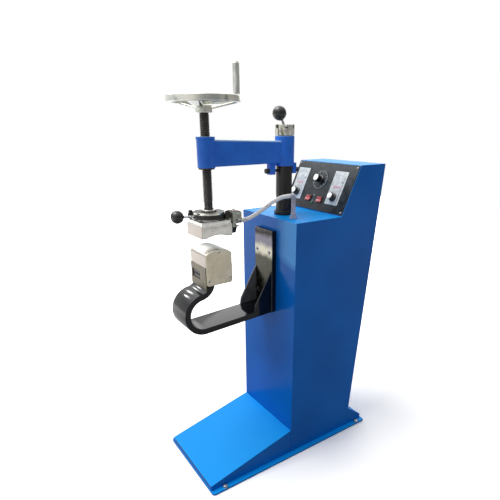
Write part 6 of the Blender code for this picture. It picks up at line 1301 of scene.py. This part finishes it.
# Rocker switches: black moulded frames snapped into the panel, with red rockers that tip about
# a pin across their middle, and a green lamp between them.
rocker_up, bezel_half, frame_width = 0.045, (0.017, 0.015), 0.003
bezel_foot, bezel_top, bezel_edge, bezel_corners = 0.0036, 0.0056, 0.0005, (0.002, 0.001)
bezel_draw = 0.03
rocker_half, pivot_off, crown_rise, valley, sink = (0.0126, 0.0106), 0.0016, 0.009, 0.0065, 0.004
rocker_corners, rocker_edge = (0.0006, 0.0006, 0.0014, 0.006, 0.0014), 0.0006
rocker_tilt = math.radians(-7)
switches = {"left": -0.038, "right": 0.028}
lamp_place, lens_edge = (-0.012, 0.029), 0.0004
lens_profile = [(0, 0.0076), (0.003, 0.007), (0.005, 0.0056), (0.005, 0.0036), (0, 0.0036)]

# Moulded nylon frame: satin black with spark eroded grain drawn at 0.8 mm.
black_nylon = new_material("nylon_black_moulded", IOR=1.53)
shade(black_nylon, clouds(black_nylon, 6), ("#0f0f12", "#1e1e23"), (0.4, 0.52))
emboss(black_nylon, clouds(black_nylon, 0.8), 0.02)

# Red rocker in polycarbonate: glossy, a little see through, so the light gathers inside it.
red_rocker = new_material("polycarbonate_red_moulded", IOR=1.58, Coat_Weight=0.3,
                          Coat_Roughness=0.08, Subsurface_Weight=0.1, Subsurface_Scale=0.003)
shade(red_rocker, clouds(red_rocker, 9), ("#ae1530", "#cf3040"), (0.16, 0.28))
emboss(red_rocker, clouds(red_rocker, 4.0), 0.01)

# Green lens in acrylic: clear green with a bright rim.
green_lens = new_material("acrylic_green_moulded", IOR=1.49, Transmission_Weight=0.5)
shade(green_lens, clouds(green_lens, 4), ("#0e7a3c", "#27a35a"), (0.08, 0.16))
emboss(green_lens, clouds(green_lens, 2.0), 0.01)


def frame_rings(across):
    """A switch frame: an outer and an inner rectangle with round corners. Each stands from the
    foot to just below the top, where both are drawn towards each other by a share."""
    wide, deep = bezel_half
    outer = rounded(rectangle(-wide, -deep, wide, deep), bezel_corners[0], steps=4)
    wide, deep = wide - frame_width, deep - frame_width
    inner = rounded(rectangle(-wide, -deep, wide, deep), bezel_corners[1], steps=4)
    shoulder = bezel_top - bezel_edge
    loop = [(outer, bezel_foot), (outer, shoulder), (outer * (1 - bezel_draw), bezel_top),
            (inner * (1 + bezel_draw), bezel_top), (inner, shoulder), (inner, bezel_foot)]
    rings = np.stack([np.column_stack([plan, np.full(len(plan), high)]) for plan, high in loop])
    return (rings + (across, rocker_up, 0)) @ panel_frame + panel_foot


def rocker(across):
    """A rocker: its side view, with crown, valley and round corners, is carried across its
    width and turned about the pin by its rest angle."""
    half = rocker_half[1]
    side_view = rounded([(-half, -sink), (half, -sink), (half, crown_rise), (0, valley),
                         (-half, crown_rise)], rocker_corners)
    points, faces = slab(side_view, -rocker_half[0], rocker_half[0], rocker_edge, "yzx")
    cos, sin = math.cos(rocker_tilt), math.sin(rocker_tilt)
    tipped = points @ np.array([(1, 0, 0), (0, cos, sin), (0, -sin, cos)])
    return (tipped + (across, rocker_up, pivot_off)) @ panel_frame + panel_foot, faces


for name, across in switches.items():
    fit(build("switch_frame_" + name, surface(frame_rings(across), wrap=True)), black_nylon,
        "root", "black_plastic", "switch_housing_" + name)
    fit(build("switch_rocker_" + name, rocker(across)), red_rocker, "switch_" + name,
        "red_plastic", "rocker_" + name)
fit(build("lamp_lens", turned(lens_profile, lens_edge, on_panel(*lamp_place, 0),
                              panel_frame[2])),
    green_lens, "root", "green_lens", "indicator_lamp")
